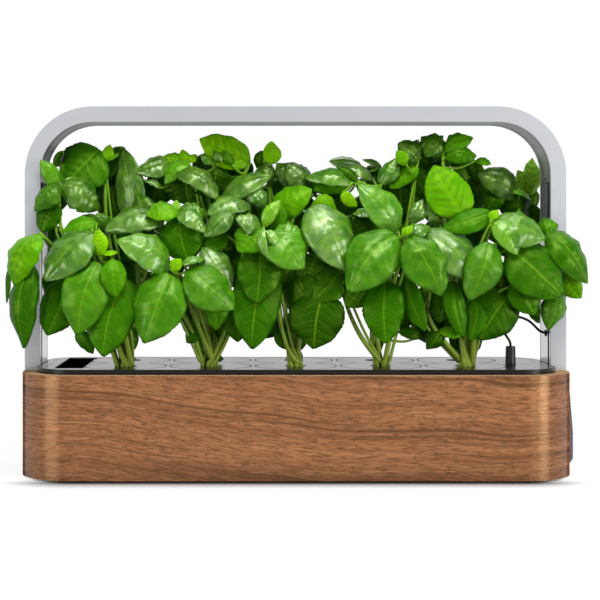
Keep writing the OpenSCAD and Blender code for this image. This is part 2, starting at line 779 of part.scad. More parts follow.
// Leaves at the front and top of each plant, placed by hand for the sizes in table_*. Each is:
// foot, tip, width, and where its upper face looks, as a turn from the front and a tilt above level.
// Places are x from the plant's pod, y and z. Each plant's leaves lean over its neighbours a little.
table_leaf_l = 72;
table_leaf_w = 44;
table_pitch = 67.5;
table_depth = 146;
table_top = 272;
table_reach = 95;      // from an outer plant's pod to its farthest leaf
front_leaves = [
    [
        [[-24, 0, 260], [-53, -6, 229], 44, -10, 8],
        [[-54, -25, 227], [-68, -27, 249], 14, 20, 0],
        [[-53, -27, 231], [-72, -33, 208], 26, -35, 20],
        [[-55, -26, 215], [-67, -28, 191], 20, -20, -5],
        [[-52, -24, 230], [-22, -14, 209], 31, 8, 32],
        [[4, -8, 198], [-4, 0, 260], 25, -22, 12],
        [[11, -12, 205], [7, -4, 241], 15, 50, 5],
        [[16, -22, 197], [9, -18, 222], 22, -10, 20],
        [[-7, 10, 198], [-15, 12, 236], 28, 0, -5],
        [[-66, -50, 191], [-84, -58, 150], 31, -26, 30],
        [[-85, -46, 170], [-91, -48, 136], 10, -60, 10],
        [[-71, -50, 167], [-76, -57, 101], 26, -20, 4],
        [[-25, -48, 193], [-60, -61, 154], 38, -8, 38],
        [[-48, -41, 161], [-62, -43, 142], 24, -10, 10],
        [[-43, -46, 154], [-60, -50, 111], 30, 0, 0],
        [[-19, -58, 169], [-34, -66, 112], 36, 0, 24],
        [[-18, -59, 173], [-19, -55, 194], 14, -10, 30],
        [[-7, -63, 171], [-4, -67, 141], 20, 5, 18],
        [[2, -53, 156], [-15, -60, 95], 38, 4, 10],
        [[-37, -44, 115], [-24, -44, 96], 13, -20, 0]
    ],
    [
        [[-36, -30, 202], [-83, -42, 192], 32, -8, 55],
        [[-30, -50, 162], [-72, -61, 186], 34, -4, 42],
        [[-25, -40, 209], [-50, -46, 205], 23, -5, 42],
        [[-25, -36, 209], [-2, -30, 205], 22, 5, 50],
        [[-26, -42, 207], [-4, -51, 191], 19, 10, 46],
        [[-25, -38, 206], [-16, -46, 167], 34, 0, 15],
        [[-31, -4, 248], [-61, -12, 240], 22, -5, 38],
        [[-34, 1, 238], [-50, 1, 214], 25, 0, 0],
        [[4, 1, 246], [-1, 1, 220], 28, 0, -5],
        [[-22, -1, 249], [-40, -3, 253], 12, 0, 40],
        [[-18, -10, 249], [-37, -18, 230], 17, -20, 36],
        [[-28, -18, 240], [7, -24, 217], 22, 12, 46],
        [[-20, -6, 240], [-18, -8, 213], 40, 0, -12],
        [[-30, -59, 160], [-51, -67, 106], 42, -4, 26],
        [[-18, -58, 163], [20, -62, 132], 35, 4, 28],
        [[2, -50, 151], [5, -55, 115], 20, 0, 10],
        [[-5, -45, 180], [16, -49, 146], 26, 10, 40],
        [[20, -38, 142], [21, -40, 105], 24, 0, 0],
        [[32, -28, 213], [-3, -40, 205], 24, -5, 56],
        [[17, -42, 207], [-5, -47, 188], 20, -8, 38],
        [[32, 8, 250], [-10, 2, 268], 28, 0, 22],
        [[-10, -32, 113], [-19, -32, 104], 10, 0, 10],
        [[1, -4, 247], [-9, -6, 254], 12, 0, 50],
        [[17, -4, 246], [11, -2, 258], 10, 10, 30],
        [[8, -14, 219], [49, -20, 237], 28, 0, 50]
    ],
    [
        [[-19, 4, 247], [-19, 4, 266], 15, 10, 4],
        [[-33, 4, 240], [-13, 2, 238], 20, 0, 25],
        [[-35, -3, 232], [-38, -5, 206], 22, 0, 0],
        [[-19, -25, 206], [13, -31, 226], 27, 0, 32],
        [[-27, -45, 195], [-48, -51, 202], 23, -4, 45],
        [[-30, -50, 195], [-45, -58, 176], 29, -8, 26],
        [[-26, -46, 196], [-13, -44, 217], 11, 20, 20],
        [[-22, -57, 191], [5, -66, 163], 36, 6, 30],
        [[-29, -49, 180], [-31, -57, 136], 34, 0, 10],
        [[-24, -43, 168], [-35, -52, 100], 37, 4, 5],
        [[-17, -52, 192], [7, -50, 188], 22, 5, 42],
        [[5, -2, 228], [-15, 0, 248], 26, -6, 36],
        [[33, -20, 210], [12, -22, 213], 20, 0, 10],
        [[10, -44, 212], [40, -55, 161], 40, 5, 34],
        [[17, -40, 174], [7, -40, 150], 30, 0, 5],
        [[33, -44, 160], [13, -46, 139], 26, -5, 10],
        [[-3, -38, 157], [24, -40, 121], 32, -16, 0],
        [[21, -44, 145], [14, -46, 100], 42, 0, -5],
        [[-13, -32, 117], [-5, -32, 98], 13, 0, 0]
    ],
    [
        [[13, -40, 192], [-19, -46, 229], 30, -5, 34],
        [[2, -8, 230], [15, -6, 252], 17, -20, 18],
        [[32, -6, 245], [9, -8, 227], 16, 0, 15],
        [[33, -6, 249], [16, -6, 264], 28, -8, 24],
        [[-18, -8, 232], [-60, -10, 235], 22, 0, 50],
        [[-21, -13, 232], [-53, -15, 225], 17, 0, 5],
        [[-24, -4, 224], [-41, -6, 204], 22, 0, 0],
        [[-13, 14, 248], [-39, 12, 250], 14, 0, 40],
        [[-3, 6, 235], [-34, 4, 245], 18, 0, 52],
        [[18, 10, 200], [16, 12, 244], 32, 0, 0],
        [[24, -30, 198], [33, -28, 218], 14, 10, 30],
        [[-1, -20, 209], [-22, -22, 206], 13, 0, 55],
        [[-5, -20, 185], [-22, -16, 205], 26, 0, 0],
        [[19, -50, 189], [37, -42, 196], 15, 4, 46],
        [[10, -54, 190], [-28, -66, 145], 41, -6, 30],
        [[18, -57, 188], [44, -67, 142], 34, 4, 30],
        [[2, -50, 154], [2, -56, 105], 31, 0, 6],
        [[18, -46, 156], [33, -50, 114], 17, -12, 10],
        [[-12, -43, 155], [-29, -45, 133], 24, 0, 5],
        [[32, -30, 109], [13, -30, 113], 11, 0, 30],
        [[-2, -34, 168], [-9, -36, 139], 26, 0, 0]
    ],
    [
        [[-32, -41, 194], [8, -52, 154], 37, 6, 40],
        [[-15, -4, 254], [-33, -2, 269], 24, -6, 34],
        [[-15, -4, 257], [10, -2, 268], 17, 4, 34],
        [[-14, -8, 252], [12, -6, 253], 20, 6, 30],
        [[-24, 10, 214], [-18, 12, 251], 26, 0, 0],
        [[-1, -34, 204], [-26, -29, 245], 35, -4, 15],
        [[-20, -28, 198], [-32, -28, 215], 15, -5, 25],
        [[18, -40, 207], [-20, -42, 194], 20, 0, 26],
        [[49, 10, 222], [14, 7, 240], 25, 0, 14],
        [[59, 12, 222], [60, 12, 251], 11, -10, 5],
        [[56, 14, 222], [52, 14, 243], 13, 0, 0],
        [[50, 12, 227], [49, 12, 202], 22, 0, 0],
        [[12, 0, 250], [25, -2, 247], 8, 0, 40],
        [[17, -42, 200], [60, -47, 186], 38, 4, 40],
        [[19, -51, 200], [36, -57, 174], 20, 0, 30],
        [[56, -32, 194], [73, -31, 197], 18, 6, 34],
        [[63, -34, 193], [95, -38, 151], 31, 6, 30],
        [[76, -30, 162], [91, -30, 139], 18, 0, -10],
        [[15, -53, 184], [-2, -58, 138], 29, -2, 24],
        [[31, -48, 180], [72, -53, 142], 42, 4, 16],
        [[35, -45, 148], [52, -46, 125], 29, 0, 6],
        [[69, -38, 143], [60, -39, 112], 21, 10, 10],
        [[-14, -44, 154], [-4, -45, 109], 17, 10, 10],
        [[7, -42, 140], [1, -42, 106], 17, -6, 5],
        [[34, -39, 146], [8, -43, 107], 35, 0, 5],
        [[41, 10, 130], [31, 10, 106], 17, 10, 0],
        [[5, -34, 163], [11, -34, 138], 30, 0, 0],
        [[-22, -40, 148], [-22, -40, 120], 22, 0, 0],
        [[-20, -36, 115], [-32, -36, 99], 17, 0, 5],
        [[-3, -37, 112], [-24, -37, 114], 11, 0, 30]
    ]
];

// Points that each plant's stems pass above the pod, placed by hand like the leaves
stem_routes = [
    [
        [[0, -31, 111], [-9, -42, 148], [-17, -56, 171]],
        [[-4, -22, 118], [-21, -28, 174], [-25, -44, 194]],
        [[-6, -10, 137], [-17, -6, 197], [-19, -2, 250]],
        [[-26, -18, 146], [-50, -26, 190], [-53, -25, 230]],
        [[8, -4, 137], [5, -8, 198], [5, 4, 236]],
        [[-20, -24, 129], [-50, -36, 173], [-65, -48, 191]]
    ],
    [
        [[-11, -36, 121], [-20, -48, 148], [-26, -58, 162]],
        [[-9, -26, 138], [-19, -32, 181], [-25, -39, 207]],
        [[-2, -14, 137], [-6, -10, 193], [-17, -8, 245]],
        [[-14, -31, 112], [-22, -34, 128], [-28, -36, 138]],
        [[11, -25, 113], [22, -24, 153], [31, -24, 212]],
        [[4, -4, 145], [14, 0, 209], [31, 6, 248]]
    ],
    [
        [[-8, -35, 104], [-17, -44, 146], [-24, -56, 191]],
        [[3, -29, 122], [7, -36, 168], [10, -42, 210]],
        [[12, -14, 137], [27, -12, 185], [31, -16, 213]],
        [[-8, -4, 137], [-4, -4, 189], [5, -2, 227]],
        [[-12, 2, 150], [-18, 6, 200], [-22, 5, 238]]
    ],
    [
        [[-16, -34, 109], [-28, -38, 135], [-31, -42, 154]],
        [[-3, -31, 115], [7, -42, 160], [15, -54, 190]],
        [[4, -16, 122], [19, -8, 177], [31, -6, 245]],
        [[-5, -6, 137], [-6, -4, 185], [1, -6, 229]],
        [[9, -27, 115], [22, -36, 162], [31, -44, 193]]
    ],
    [
        [[7, -33, 115], [13, -35, 136], [26, -42, 146]],
        [[-20, -35, 108], [-30, -37, 125], [-30, -40, 145]],
        [[1, -30, 130], [9, -40, 178], [18, -46, 201]],
        [[20, -22, 134], [48, -26, 173], [62, -32, 192]],
        [[13, 8, 145], [38, 11, 197], [57, 12, 223]],
        [[-5, -22, 138], [-3, -30, 182], [-2, -33, 203]],
        [[-8, -14, 140], [-14, -8, 200], [-15, -5, 250]]
    ]
];

// Leaves of the back half follow a rule: they spiral up the plant and hang outwards
back_n = 13;
back_low = 152;
back_rise = 86;
back_fan = 0.45;       // how much the leaves spread sideways, so that they stay off the next plant's
function part_of(x) = x - floor(x);
function back_leaf(column, i) =
    let (
        place = part_of(i * 0.618 + column * 0.27),
        turn = -80 + 160 * place,
        size = 0.56 + 0.12 * part_of(i * 0.37),
        fall = 26 + 26 * part_of(i * 0.71 + column * 0.4),
        reach = table_leaf_l * size,
        foot = [34 * (place - 0.5), 8 + 24 * part_of(i * 0.43), back_low + back_rise * i / (back_n - 1)]
    )
    [foot, foot + reach * [back_fan * sin(turn) * cos(fall), cos(turn) * cos(fall), -sin(fall)],
        table_leaf_w * size, 180 - turn, 90 - fall];

stem_root = 4.5;       // radius of the bundle of stems in the pod's hole
stem_w = 3.6;
stalk_w = 2.2;         // thickness of a leaf's stalk
foliage_d = base_d / 2 - 1.5;
sprout_z = plug_top + stem_w / 2 + 0.05;
leg_keep = arch_d / 2 + 1.5;                    // half depth of the way kept free for a leg
lead_keep = [plug_x - 10, plug_y - 6, 2];       // way kept free for the lead: low x, low y, high y

function is_outer(column) = column == 1 || column == 5;
// A table's place at the part's real sizes
function stretch(column, x) =
    is_outer(column) && x * (column - 3) > 0 ? (foliage_reach - 2 * pod_pitch_x) / table_reach
    : pod_pitch_x / table_pitch;
function placed(column, p) = [
    pod_x(column) + p[0] * stretch(column, p[0]),
    p[1] * base_d / table_depth,
    sprout_z + (p[2] - sprout_z) * (foliage_z - sprout_z) / (table_top - sprout_z)
];
function root_point(column, k) =
    let (turn = 360 * k / len(stem_routes[column - 1]))
    [pod_x(column) + stem_root * cos(turn), pod_y(-1) + stem_root * sin(turn), sprout_z];
function stem_points(column, k) =
    concat([root_point(column, k)], [for (p = stem_routes[column - 1][k]) placed(column, p)]);
// Places on a plant's stems where stalks may start
function stem_spots(column) = [
    for (k = [0:len(stem_routes[column - 1]) - 1])
        let (p = stem_points(column, k))
        for (i = [0:2], s = [0.25:0.25:1]) if (i > 0 || s > 0.7) p[i] + (p[i + 1] - p[i]) * s
];
// The spot that a leaf grows from: near its foot, and below it where that is as near
function nearest(spots, foot) =
    let (away = [for (p = spots) norm(p - foot) + (p[2] > foot[2] ? 10 : 0)])
    spots[search(min(away), away)[0]];

module stem(column, k) {
    p = stem_points(column, k);
    for (i = [0:len(p) - 2]) hull() {
        translate(p[i]) sphere(r = stem_w / 2 * (1 - 0.12 * i), $fn = 6);
        translate(p[i + 1]) sphere(r = stem_w / 2 * (0.88 - 0.12 * i), $fn = 6);
    }
}

module stalk(start, foot) {
    hull() {
        translate(start) sphere(r = stalk_w / 2, $fn = 4);
        translate(foot) sphere(r = stalk_w / 2, $fn = 4);
    }
}

module basil_plant(column) {
    side = sign(column - 3);
    spots = stem_spots(column);
    sprigs = concat(front_leaves[column - 1], [for (i = [0:back_n - 1]) back_leaf(column, i)]);
    color(green) intersection() {
        difference() {
            union() {
                translate([pod_x(column), pod_y(-1), sprout_z - stem_w / 2])
                    cylinder(r = stem_root, h = stem_w, $fn = 12);
                for (k = [0:len(stem_routes[column - 1]) - 1]) stem(column, k);
                for (sprig = sprigs) {
                    foot = placed(column, sprig[0]);
                    tip = foot + (placed(column, sprig[1]) - foot) * leaf_l / table_leaf_l;
                    stalk(nearest(spots, foot), foot);
                    leaf(foot, tip, sprig[2] * leaf_w / table_leaf_w, sprig[3], sprig[4]);
                }
            }
            if (is_outer(column)) end_box(side, leg_x - 1.5, base_w, leg_keep, rim_z, arch_z + 1);
            // Free way up for the lead and its plug when the arch is lifted off
            if (column == 5) box(lead_keep[0], base_w, lead_keep[1], lead_keep[2], deck_z, arch_z);
        }
        box(-foliage_reach, foliage_reach, -foliage_d, foliage_d, plug_top, foliage_z);
    }
}

wood_sleeve();
bottom_cover();
rubber_feet();
bottom_screws();
water_tank();
deck_seal();
deck();
leg_bezel(-1);  // leg_bezel_left
leg_bezel(1);  // leg_bezel_right
leg_socket(-1);  // leg_socket_left
leg_socket(1);  // leg_socket_right
pod(1, -1);  // pod_front_1
pod(2, -1);  // pod_front_2
pod(3, -1);  // pod_front_3
pod(4, -1);  // pod_front_4
pod(5, -1);  // pod_front_5
pod(1, 1);  // pod_back_1
pod(2, 1);  // pod_back_2
pod(3, 1);  // pod_back_3
pod(4, 1);  // pod_back_4
pod(5, 1);  // pod_back_5
grow_plug(1, -1);  // grow_plug_1
grow_plug(2, -1);  // grow_plug_2
grow_plug(3, -1);  // grow_plug_3
grow_plug(4, -1);  // grow_plug_4
grow_plug(5, -1);  // grow_plug_5
for (column = [1:5]) grow_plug(column, 1);  // spare_grow_plugs
basil_plant(1);  // basil_plant_1
basil_plant(2);  // basil_plant_2
basil_plant(3);  // basil_plant_3
basil_plant(4);  // basil_plant_4
basil_plant(5);  // basil_plant_5
arch_frame();
arch_liner(-1);  // arch_liner_left
arch_liner(1);  // arch_liner_right
arch_tongue(-1);  // arch_tongue_left
arch_tongue(1);  // arch_tongue_right
tongue_screws();
light_diffuser();
led_board();
led_chips();
led_wire();
lead_grommet();
light_lead();
lead_plug();
lead_socket();
control_board();
board_screws();
inner_cables();
power_jack();
jack_nut();
side_paddle();
paddle_pin();
paddle_bezel();
push_switch();
switch_plunger();
level_stem();
level_float();
float_clip();
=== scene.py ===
import math
import random

import bpy
import numpy as np
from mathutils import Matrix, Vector


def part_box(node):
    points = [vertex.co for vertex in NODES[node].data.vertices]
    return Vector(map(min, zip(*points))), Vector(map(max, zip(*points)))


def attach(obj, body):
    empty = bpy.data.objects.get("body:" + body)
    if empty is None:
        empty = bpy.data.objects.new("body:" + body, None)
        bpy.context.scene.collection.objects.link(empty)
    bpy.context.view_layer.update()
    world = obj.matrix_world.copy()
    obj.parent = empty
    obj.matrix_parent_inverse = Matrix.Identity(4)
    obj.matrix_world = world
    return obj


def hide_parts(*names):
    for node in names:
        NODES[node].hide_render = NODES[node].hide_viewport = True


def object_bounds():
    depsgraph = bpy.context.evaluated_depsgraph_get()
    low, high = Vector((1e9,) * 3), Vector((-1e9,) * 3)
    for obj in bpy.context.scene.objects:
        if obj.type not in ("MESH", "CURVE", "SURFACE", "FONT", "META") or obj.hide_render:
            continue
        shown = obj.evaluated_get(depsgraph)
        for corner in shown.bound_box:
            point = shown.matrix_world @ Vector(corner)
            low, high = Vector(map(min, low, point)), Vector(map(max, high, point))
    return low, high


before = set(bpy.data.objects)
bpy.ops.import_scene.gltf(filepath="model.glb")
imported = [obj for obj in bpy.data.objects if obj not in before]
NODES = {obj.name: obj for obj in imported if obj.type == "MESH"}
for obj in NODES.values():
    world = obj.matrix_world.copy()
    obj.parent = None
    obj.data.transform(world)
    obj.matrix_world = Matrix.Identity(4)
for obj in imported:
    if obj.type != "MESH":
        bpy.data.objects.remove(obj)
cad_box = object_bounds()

# Countertop hydroponic garden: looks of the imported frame, and the basil in leaves and stems.
# Sizes are metres unless a name says mm or px.

MM = 0.001
PLANTS = range(1, 6)
scene = bpy.context.scene

# ---------------- camera
IMAGE_PX = 600
CAMERA_AT = Vector((-36.3, -1198.0, 187.0)) * MM
FOCAL_PX = 1474.0
AXIS_PX = (250.0, 238.0)
SENSOR_MM = 36.0


def add_camera():
    """Level camera that looks along +Y; the shift alone frames the object."""
    data = bpy.data.cameras.new("camera")
    data.sensor_width = SENSOR_MM
    data.lens = FOCAL_PX * SENSOR_MM / IMAGE_PX
    data.shift_x = (IMAGE_PX / 2 - AXIS_PX[0]) / IMAGE_PX
    data.shift_y = (AXIS_PX[1] - IMAGE_PX / 2) / IMAGE_PX
    data.clip_start = 0.05
    data.clip_end = 30
    camera = bpy.data.objects.new("camera", data)
    camera.location = CAMERA_AT
    camera.rotation_euler = (math.pi / 2, 0, 0)
    scene.collection.objects.link(camera)
    scene.camera = camera


def at_px(px, py, depth_mm):
    """The point of the frame that shows at a pixel of the photograph, at a depth along Y."""
    scale = (depth_mm * MM - CAMERA_AT.y) / FOCAL_PX
    x = CAMERA_AT.x + (px - AXIS_PX[0]) * scale
    z = CAMERA_AT.z - (py - AXIS_PX[1]) * scale
    return Vector((x, depth_mm * MM, z))


def to_px(points):
    """Pixels at which an array of points shows."""
    scale = FOCAL_PX / (points[:, 1] - CAMERA_AT.y)
    px = AXIS_PX[0] + (points[:, 0] - CAMERA_AT.x) * scale
    py = AXIS_PX[1] - (points[:, 2] - CAMERA_AT.z) * scale
    return px, py


add_camera()

# ---------------- node materials


def linear(r, g, b):
    """Linear colour from 0-255 sRGB."""

    def one(c):
        c = c / 255
        return c / 12.92 if c <= 0.04045 else ((c + 0.055) / 1.055) ** 2.4

    return (one(r), one(g), one(b), 1.0)


def grey(level):
    return (level, level, level, 1.0)


def scaled(colour, factor, lift=0.0):
    """The colour, made lighter or darker."""
    return tuple(min(1.0, c * factor + lift) for c in colour[:3]) + (1.0,)


class Shader:
    """Node tree of a material or of the world, with short calls to add nodes and link them."""

    def __init__(self, name, world=False):
        self.owner = (bpy.data.worlds if world else bpy.data.materials).new(name)
        self.owner.use_nodes = True
        self.tree = self.owner.node_tree
        self.tree.nodes.clear()
        self.output = self.node("ShaderNodeOutputWorld" if world else "ShaderNodeOutputMaterial")

    def node(self, kind, inputs=None, **props):
        made = self.tree.nodes.new(kind)
        for key, value in props.items():
            setattr(made, key, value)
        for key, value in (inputs or {}).items():
            socket = made.inputs[key]
            if isinstance(value, bpy.types.NodeSocket):
                self.tree.links.new(value, socket)
            else:
                socket.default_value = value
        return made

    def out(self, kind, inputs=None, output=0, **props):
        """One output of a new node."""
        return self.node(kind, inputs, **props).outputs[output]

    def math(self, operation, a, b=0.0, clamp=False):
        return self.out("ShaderNodeMath", {0: a, 1: b}, operation=operation, use_clamp=clamp)

    def times(self, a, b):
        return self.math("MULTIPLY", a, b)

    def minus(self, a, b):
        return self.math("SUBTRACT", a, b)

    def larger(self, a, b):
        return self.math("MAXIMUM", a, b)

    def size(self, a):
        return self.math("ABSOLUTE", a)

    def length(self, x, y):
        flat = self.out("ShaderNodeCombineXYZ", {0: x, 1: y})
        return self.out("ShaderNodeVectorMath", {0: flat}, "Value", operation="LENGTH")

    def split(self, vector):
        return self.node("ShaderNodeSeparateXYZ", {0: vector}).outputs[:]

    def mix(self, factor, a, b):
        return self.out("ShaderNodeMix", {0: factor, 6: a, 7: b}, 2, data_type="RGBA")

    def ramp(self, factor, stops):
        """Colour ramp from (position, linear colour) stops."""
        made = self.node("ShaderNodeValToRGB", {0: factor})
        elements = made.color_ramp.elements
        while len(elements) < len(stops):
            elements.new(0.5)
        for element, (position, colour) in zip(elements, stops):
            element.position = position
            element.color = colour
        return made.outputs[0]

    def tones(self, factor, stops):
        """Colour ramp from (position, sRGB) stops."""
        return self.ramp(factor, [(position, linear(*rgb)) for position, rgb in stops])

    def fit(self, value, low, high, a=0.0, b=1.0):
        """Takes low to high onto a to b, and holds the value there beyond them."""
        return self.out("ShaderNodeMapRange", {0: value, 1: low, 2: high, 3: a, 4: b})

    def stain(self, colour, mask, low, high, share, rgb):
        """Mixes an sRGB colour in, from none to the share while the mask goes from low to high."""
        return self.mix(self.fit(mask, low, high, 0.0, share), colour, linear(*rgb))

    def point(self, scale=(1, 1, 1)):
        """Place on the piece, which the patterns are fixed to."""
        coords = self.out("ShaderNodeTexCoord", output="Object")
        return self.out("ShaderNodeMapping", {"Vector": coords, "Scale": scale})

    def noise(self, vector, scale, detail=2.0, roughness=0.5):
        facts = {"Vector": vector, "Scale": scale, "Detail": detail, "Roughness": roughness}
        return self.out("ShaderNodeTexNoise", facts)

    def grain(self, scale, detail=2.0):
        """Noise on the piece: one scale, or one for each axis."""
        if isinstance(scale, tuple):
            return self.noise(self.point(scale), 1.0, detail)
        return self.noise(self.point(), scale, detail)

    def bump(self, *layers):
        """Relief from (height, strength, depth) layers, the first one lowest."""
        normal = None
        for height, strength, depth in layers:
            inputs = {"Height": height, "Strength": strength, "Distance": depth}
            if normal is not None:
                inputs["Normal"] = normal
            normal = self.out("ShaderNodeBump", inputs)
        return normal

    def face_on(self, full, none):
        """1 where a surface faces the viewer, falling to 0 at its edges; for gloss only."""
        facing_edge = self.out("ShaderNodeLayerWeight", {"Blend": 0.5}, "Facing")
        return self.fit(facing_edge, full, none, 1.0, 0.0)

    def principled(self, **inputs):
        named = {key.replace("_", " "): value for key, value in inputs.items()}
        return self.out("ShaderNodeBsdfPrincipled", named)

    def surface(self, closure):
        self.tree.links.new(closure, self.output.inputs[0])
        return self.owner

    def finish(self, **inputs):
        """Principled shader with these inputs, as the surface."""
        return self.surface(self.principled(**inputs))


PLY = 0.003
SLEEVE_CORNER = 0.043
WOOD_SHEEN = (1.0, 0.62, 0.30, 1.0)
WOOD_TONES = [(0.28, (112, 67, 42)), (0.42, (138, 87, 58)), (0.56, (163, 107, 72)), (0.70, (128, 79, 50))]
PLY_TONES = [(0.0, (190, 162, 126)), (0.48, (180, 150, 112)), (0.54, (146, 112, 78)), (0.96, (160, 126, 90))]
GRAIN_SLOPE = 0.045
GRAIN_BEND = 0.052


def outline_inset(s, x, y):
    """How far a point lies inside the base's rounded outline, seen from above."""
    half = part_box("wood_sleeve")[1]
    qx = s.minus(s.size(x), half.x - SLEEVE_CORNER)
    qy = s.minus(s.size(y), half.y - SLEEVE_CORNER)
    corner = s.length(s.larger(qx, 0.0), s.larger(qy, 0.0))
    within = s.math("MINIMUM", s.larger(qx, qy), 0.0)
    return s.minus(SLEEVE_CORNER, s.math("ADD", corner, within))


def walnut_material():
    """Walnut: grain that flows along the sleeve, dark pores, painted shade along its foot, and the plies of
    the band on its top edge.
    """
    s = Shader("walnut_veneer")
    x, y, z = s.split(s.point())
    # The grain wanders and slopes a little down to the right
    bend = s.times(s.minus(s.grain((4.2, 4.2, 3.4)), 0.5), GRAIN_BEND)
    height = s.math("ADD", s.math("ADD", z, s.times(x, GRAIN_SLOPE)), bend)
    flow = s.out("ShaderNodeCombineXYZ", {0: x, 1: y, 2: height})

    def streaks(along, across, detail, seed):
        facts = {"Vector": flow, "Scale": (along, along, across), "Location": (seed, 0, seed)}
        return s.noise(s.out("ShaderNodeMapping", facts), 1.0, detail, 0.62)

    lines = streaks(2.4, 240, 3.0, 9.2)
    medium = streaks(5, 520, 4.0, 4.1)
    fine = streaks(80, 780, 3.0, 7.7)
    pores = streaks(170, 1050, 1.0, 2.9)
    colour = s.tones(streaks(2.2, 62, 3.0, 1.3), WOOD_TONES)
    colour = s.stain(colour, lines, 0.46, 0.36, 0.80, (76, 44, 24))
    colour = s.stain(colour, medium, 0.47, 0.32, 0.42, (94, 60, 36))
    colour = s.stain(colour, medium, 0.53, 0.70, 0.50, (190, 138, 94))
    colour = s.stain(colour, fine, 0.54, 0.36, 0.74, (88, 52, 31))
    colour = s.stain(colour, pores, 0.45, 0.34, 0.60, (56, 32, 18))
    # Painted shade: the wood darkens towards the bottom, close to the floor
    colour = s.stain(colour, z, 0.020, 0.004, 0.40, (60, 36, 22))
    # The top edge shows the plies, counted inwards from the outline
    ply = s.math("FRACT", s.times(outline_inset(s, x, y), 1 / PLY))
    edge = s.stain(s.tones(ply, PLY_TONES), s.grain((900, 900, 900), 3.0), 0.45, 0.75, 0.5, (120, 90, 60))
    facing_up = s.split(s.out("ShaderNodeNewGeometry", output="Normal"))[2]
    # The oiled fibres run round the sleeve, so they stretch a highlight up and down
    along = s.out("ShaderNodeTangent", direction_type="RADIAL", axis="Z")
    return s.finish(
        Base_Color=s.mix(s.fit(facing_up, 0.6, 0.8), colour, edge),
        Roughness=s.fit(fine, 0.3, 0.7, 0.32, 0.22),
        Normal=s.bump((medium, 0.25, 0.0004), (pores, 0.4, 0.0003)),
        Specular_IOR_Level=s.face_on(0.30, 0.70),
        Specular_Tint=WOOD_SHEEN,
        Anisotropic=0.85,
        Anisotropic_Rotation=0.25,
        Tangent=along,
    )


PLASTIC_WEAR = 0.06
PLASTIC_GRAIN = 1400
METAL_BLAST = 2600
METAL_VARIES = 0.05


def plastic_material(name, rgb, roughness):
    """Moulded plastic: fine grain in the surface, and a gloss that varies softly."""
    s = Shader(name)
    soft = s.grain(35, 3.0)
    colour = linear(*rgb)
    return s.finish(
        Base_Color=s.mix(s.fit(soft, 0.35, 0.65, 0.0, 0.25), colour, scaled(colour, 1.25, 0.002)),
        Roughness=s.fit(soft, 0.3, 0.7, roughness - PLASTIC_WEAR, roughness + PLASTIC_WEAR),
        Normal=s.bump((s.grain(PLASTIC_GRAIN), 0.4, 0.00004)),
        Specular_IOR_Level=0.5,
    )


DECK_GLOSS = 0.22
POD_JOINT = (0.0009, 0.0004)


def deck_material():
    """Satin black deck and pod lids: a dark joint runs round each pod."""
    s = Shader("black_plastic")
    low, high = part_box("pod_front_1")
    radius = (high.x - low.x) / 2
    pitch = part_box("pod_front_2")[0].x - low.x
    row_y = (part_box("pod_back_1")[0].y - low.y) / 2
    mid_y = (low.y + high.y) / 2 + row_y
    x, y, _ = s.split(s.point())
    outermost = len(PLANTS) // 2
    column = s.math("ROUND", s.math("DIVIDE", x, pitch))
    column = s.math("MINIMUM", s.larger(column, -outermost), outermost)
    away = s.length(s.minus(x, s.times(column, pitch)), s.minus(s.size(s.minus(y, mid_y)), row_y))
    joint = s.fit(s.size(s.minus(away, radius)), *POD_JOINT)
    soft = s.grain(22)
    colour = s.stain(linear(22, 20, 16), soft, 0.3, 0.7, 0.5, (27, 25, 21))
    return s.finish(
        Base_Color=s.mix(joint, colour, linear(5, 5, 5)),
        Roughness=s.fit(soft, 0.3, 0.7, 0.20, 0.24),
        Normal=s.bump((s.grain(PLASTIC_GRAIN), 0.3, 0.00003)),
        Specular_IOR_Level=s.times(s.minus(1.0, joint), DECK_GLOSS),
    )


def aluminium_material(name, rgb, roughness, metallic):
    """Bead-blasted anodised aluminium."""
    s = Shader(name)
    blast = s.grain(METAL_BLAST)
    colour = linear(*rgb)
    return s.finish(
        Base_Color=s.mix(s.fit(s.grain(14), 0.3, 0.7, 0.0, 0.5), colour, scaled(colour, 0.93)),
        Metallic=metallic,
        Roughness=s.fit(blast, 0.2, 0.8, roughness - METAL_VARIES, roughness + METAL_VARIES),
        Normal=s.bump((blast, 0.25, 0.00003)),
    )


LINER_GROOVE = (0.004, 0.009)
LINER_GROOVE_SOFT = 0.001
# Heights over which painted shade darkens the upper part of the strip
LINER_PAINTED_SHADE = (0.165, 0.205)


def liner_material():
    """Glossy cover strip in the arch's legs: a dark groove runs down behind its front edge, and painted
    shade darkens and dulls its upper part.
    """
    s = Shader("liner")
    _, y, z = s.split(s.point())
    depth = s.minus(y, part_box("arch_liner_right")[0].y)
    start, end = LINER_GROOVE
    soft = LINER_GROOVE_SOFT
    groove = s.times(s.fit(depth, start - soft, start), s.fit(depth, end + soft, end))
    # Painted shade: the strip goes darker and loses its gloss towards the top
    painted_shade = s.fit(z, *LINER_PAINTED_SHADE)
    strip = s.mix(painted_shade, linear(196, 198, 200), linear(120, 122, 122))
    gloss = s.minus(1.0, s.larger(groove, painted_shade))
    return s.finish(
        Base_Color=s.mix(groove, strip, linear(38, 39, 41)),
        Metallic=s.times(gloss, 0.7),
        Roughness=0.20,
        Specular_IOR_Level=gloss,
        Normal=s.bump((s.grain(METAL_BLAST), 0.15, 0.00002)),
    )


def foam_material():
    s = Shader("grow_sponge")
    cells = s.out("ShaderNodeTexVoronoi", {"Vector": s.point(), "Scale": 900})
    browns = [(0.3, (38, 25, 15)), (0.6, (72, 50, 30)), (0.8, (96, 70, 44))]
    colour = s.tones(s.grain(260, 4.0), browns)
    return s.finish(Base_Color=colour, Roughness=0.95, Normal=s.bump((cells, 0.9, 0.0006)))


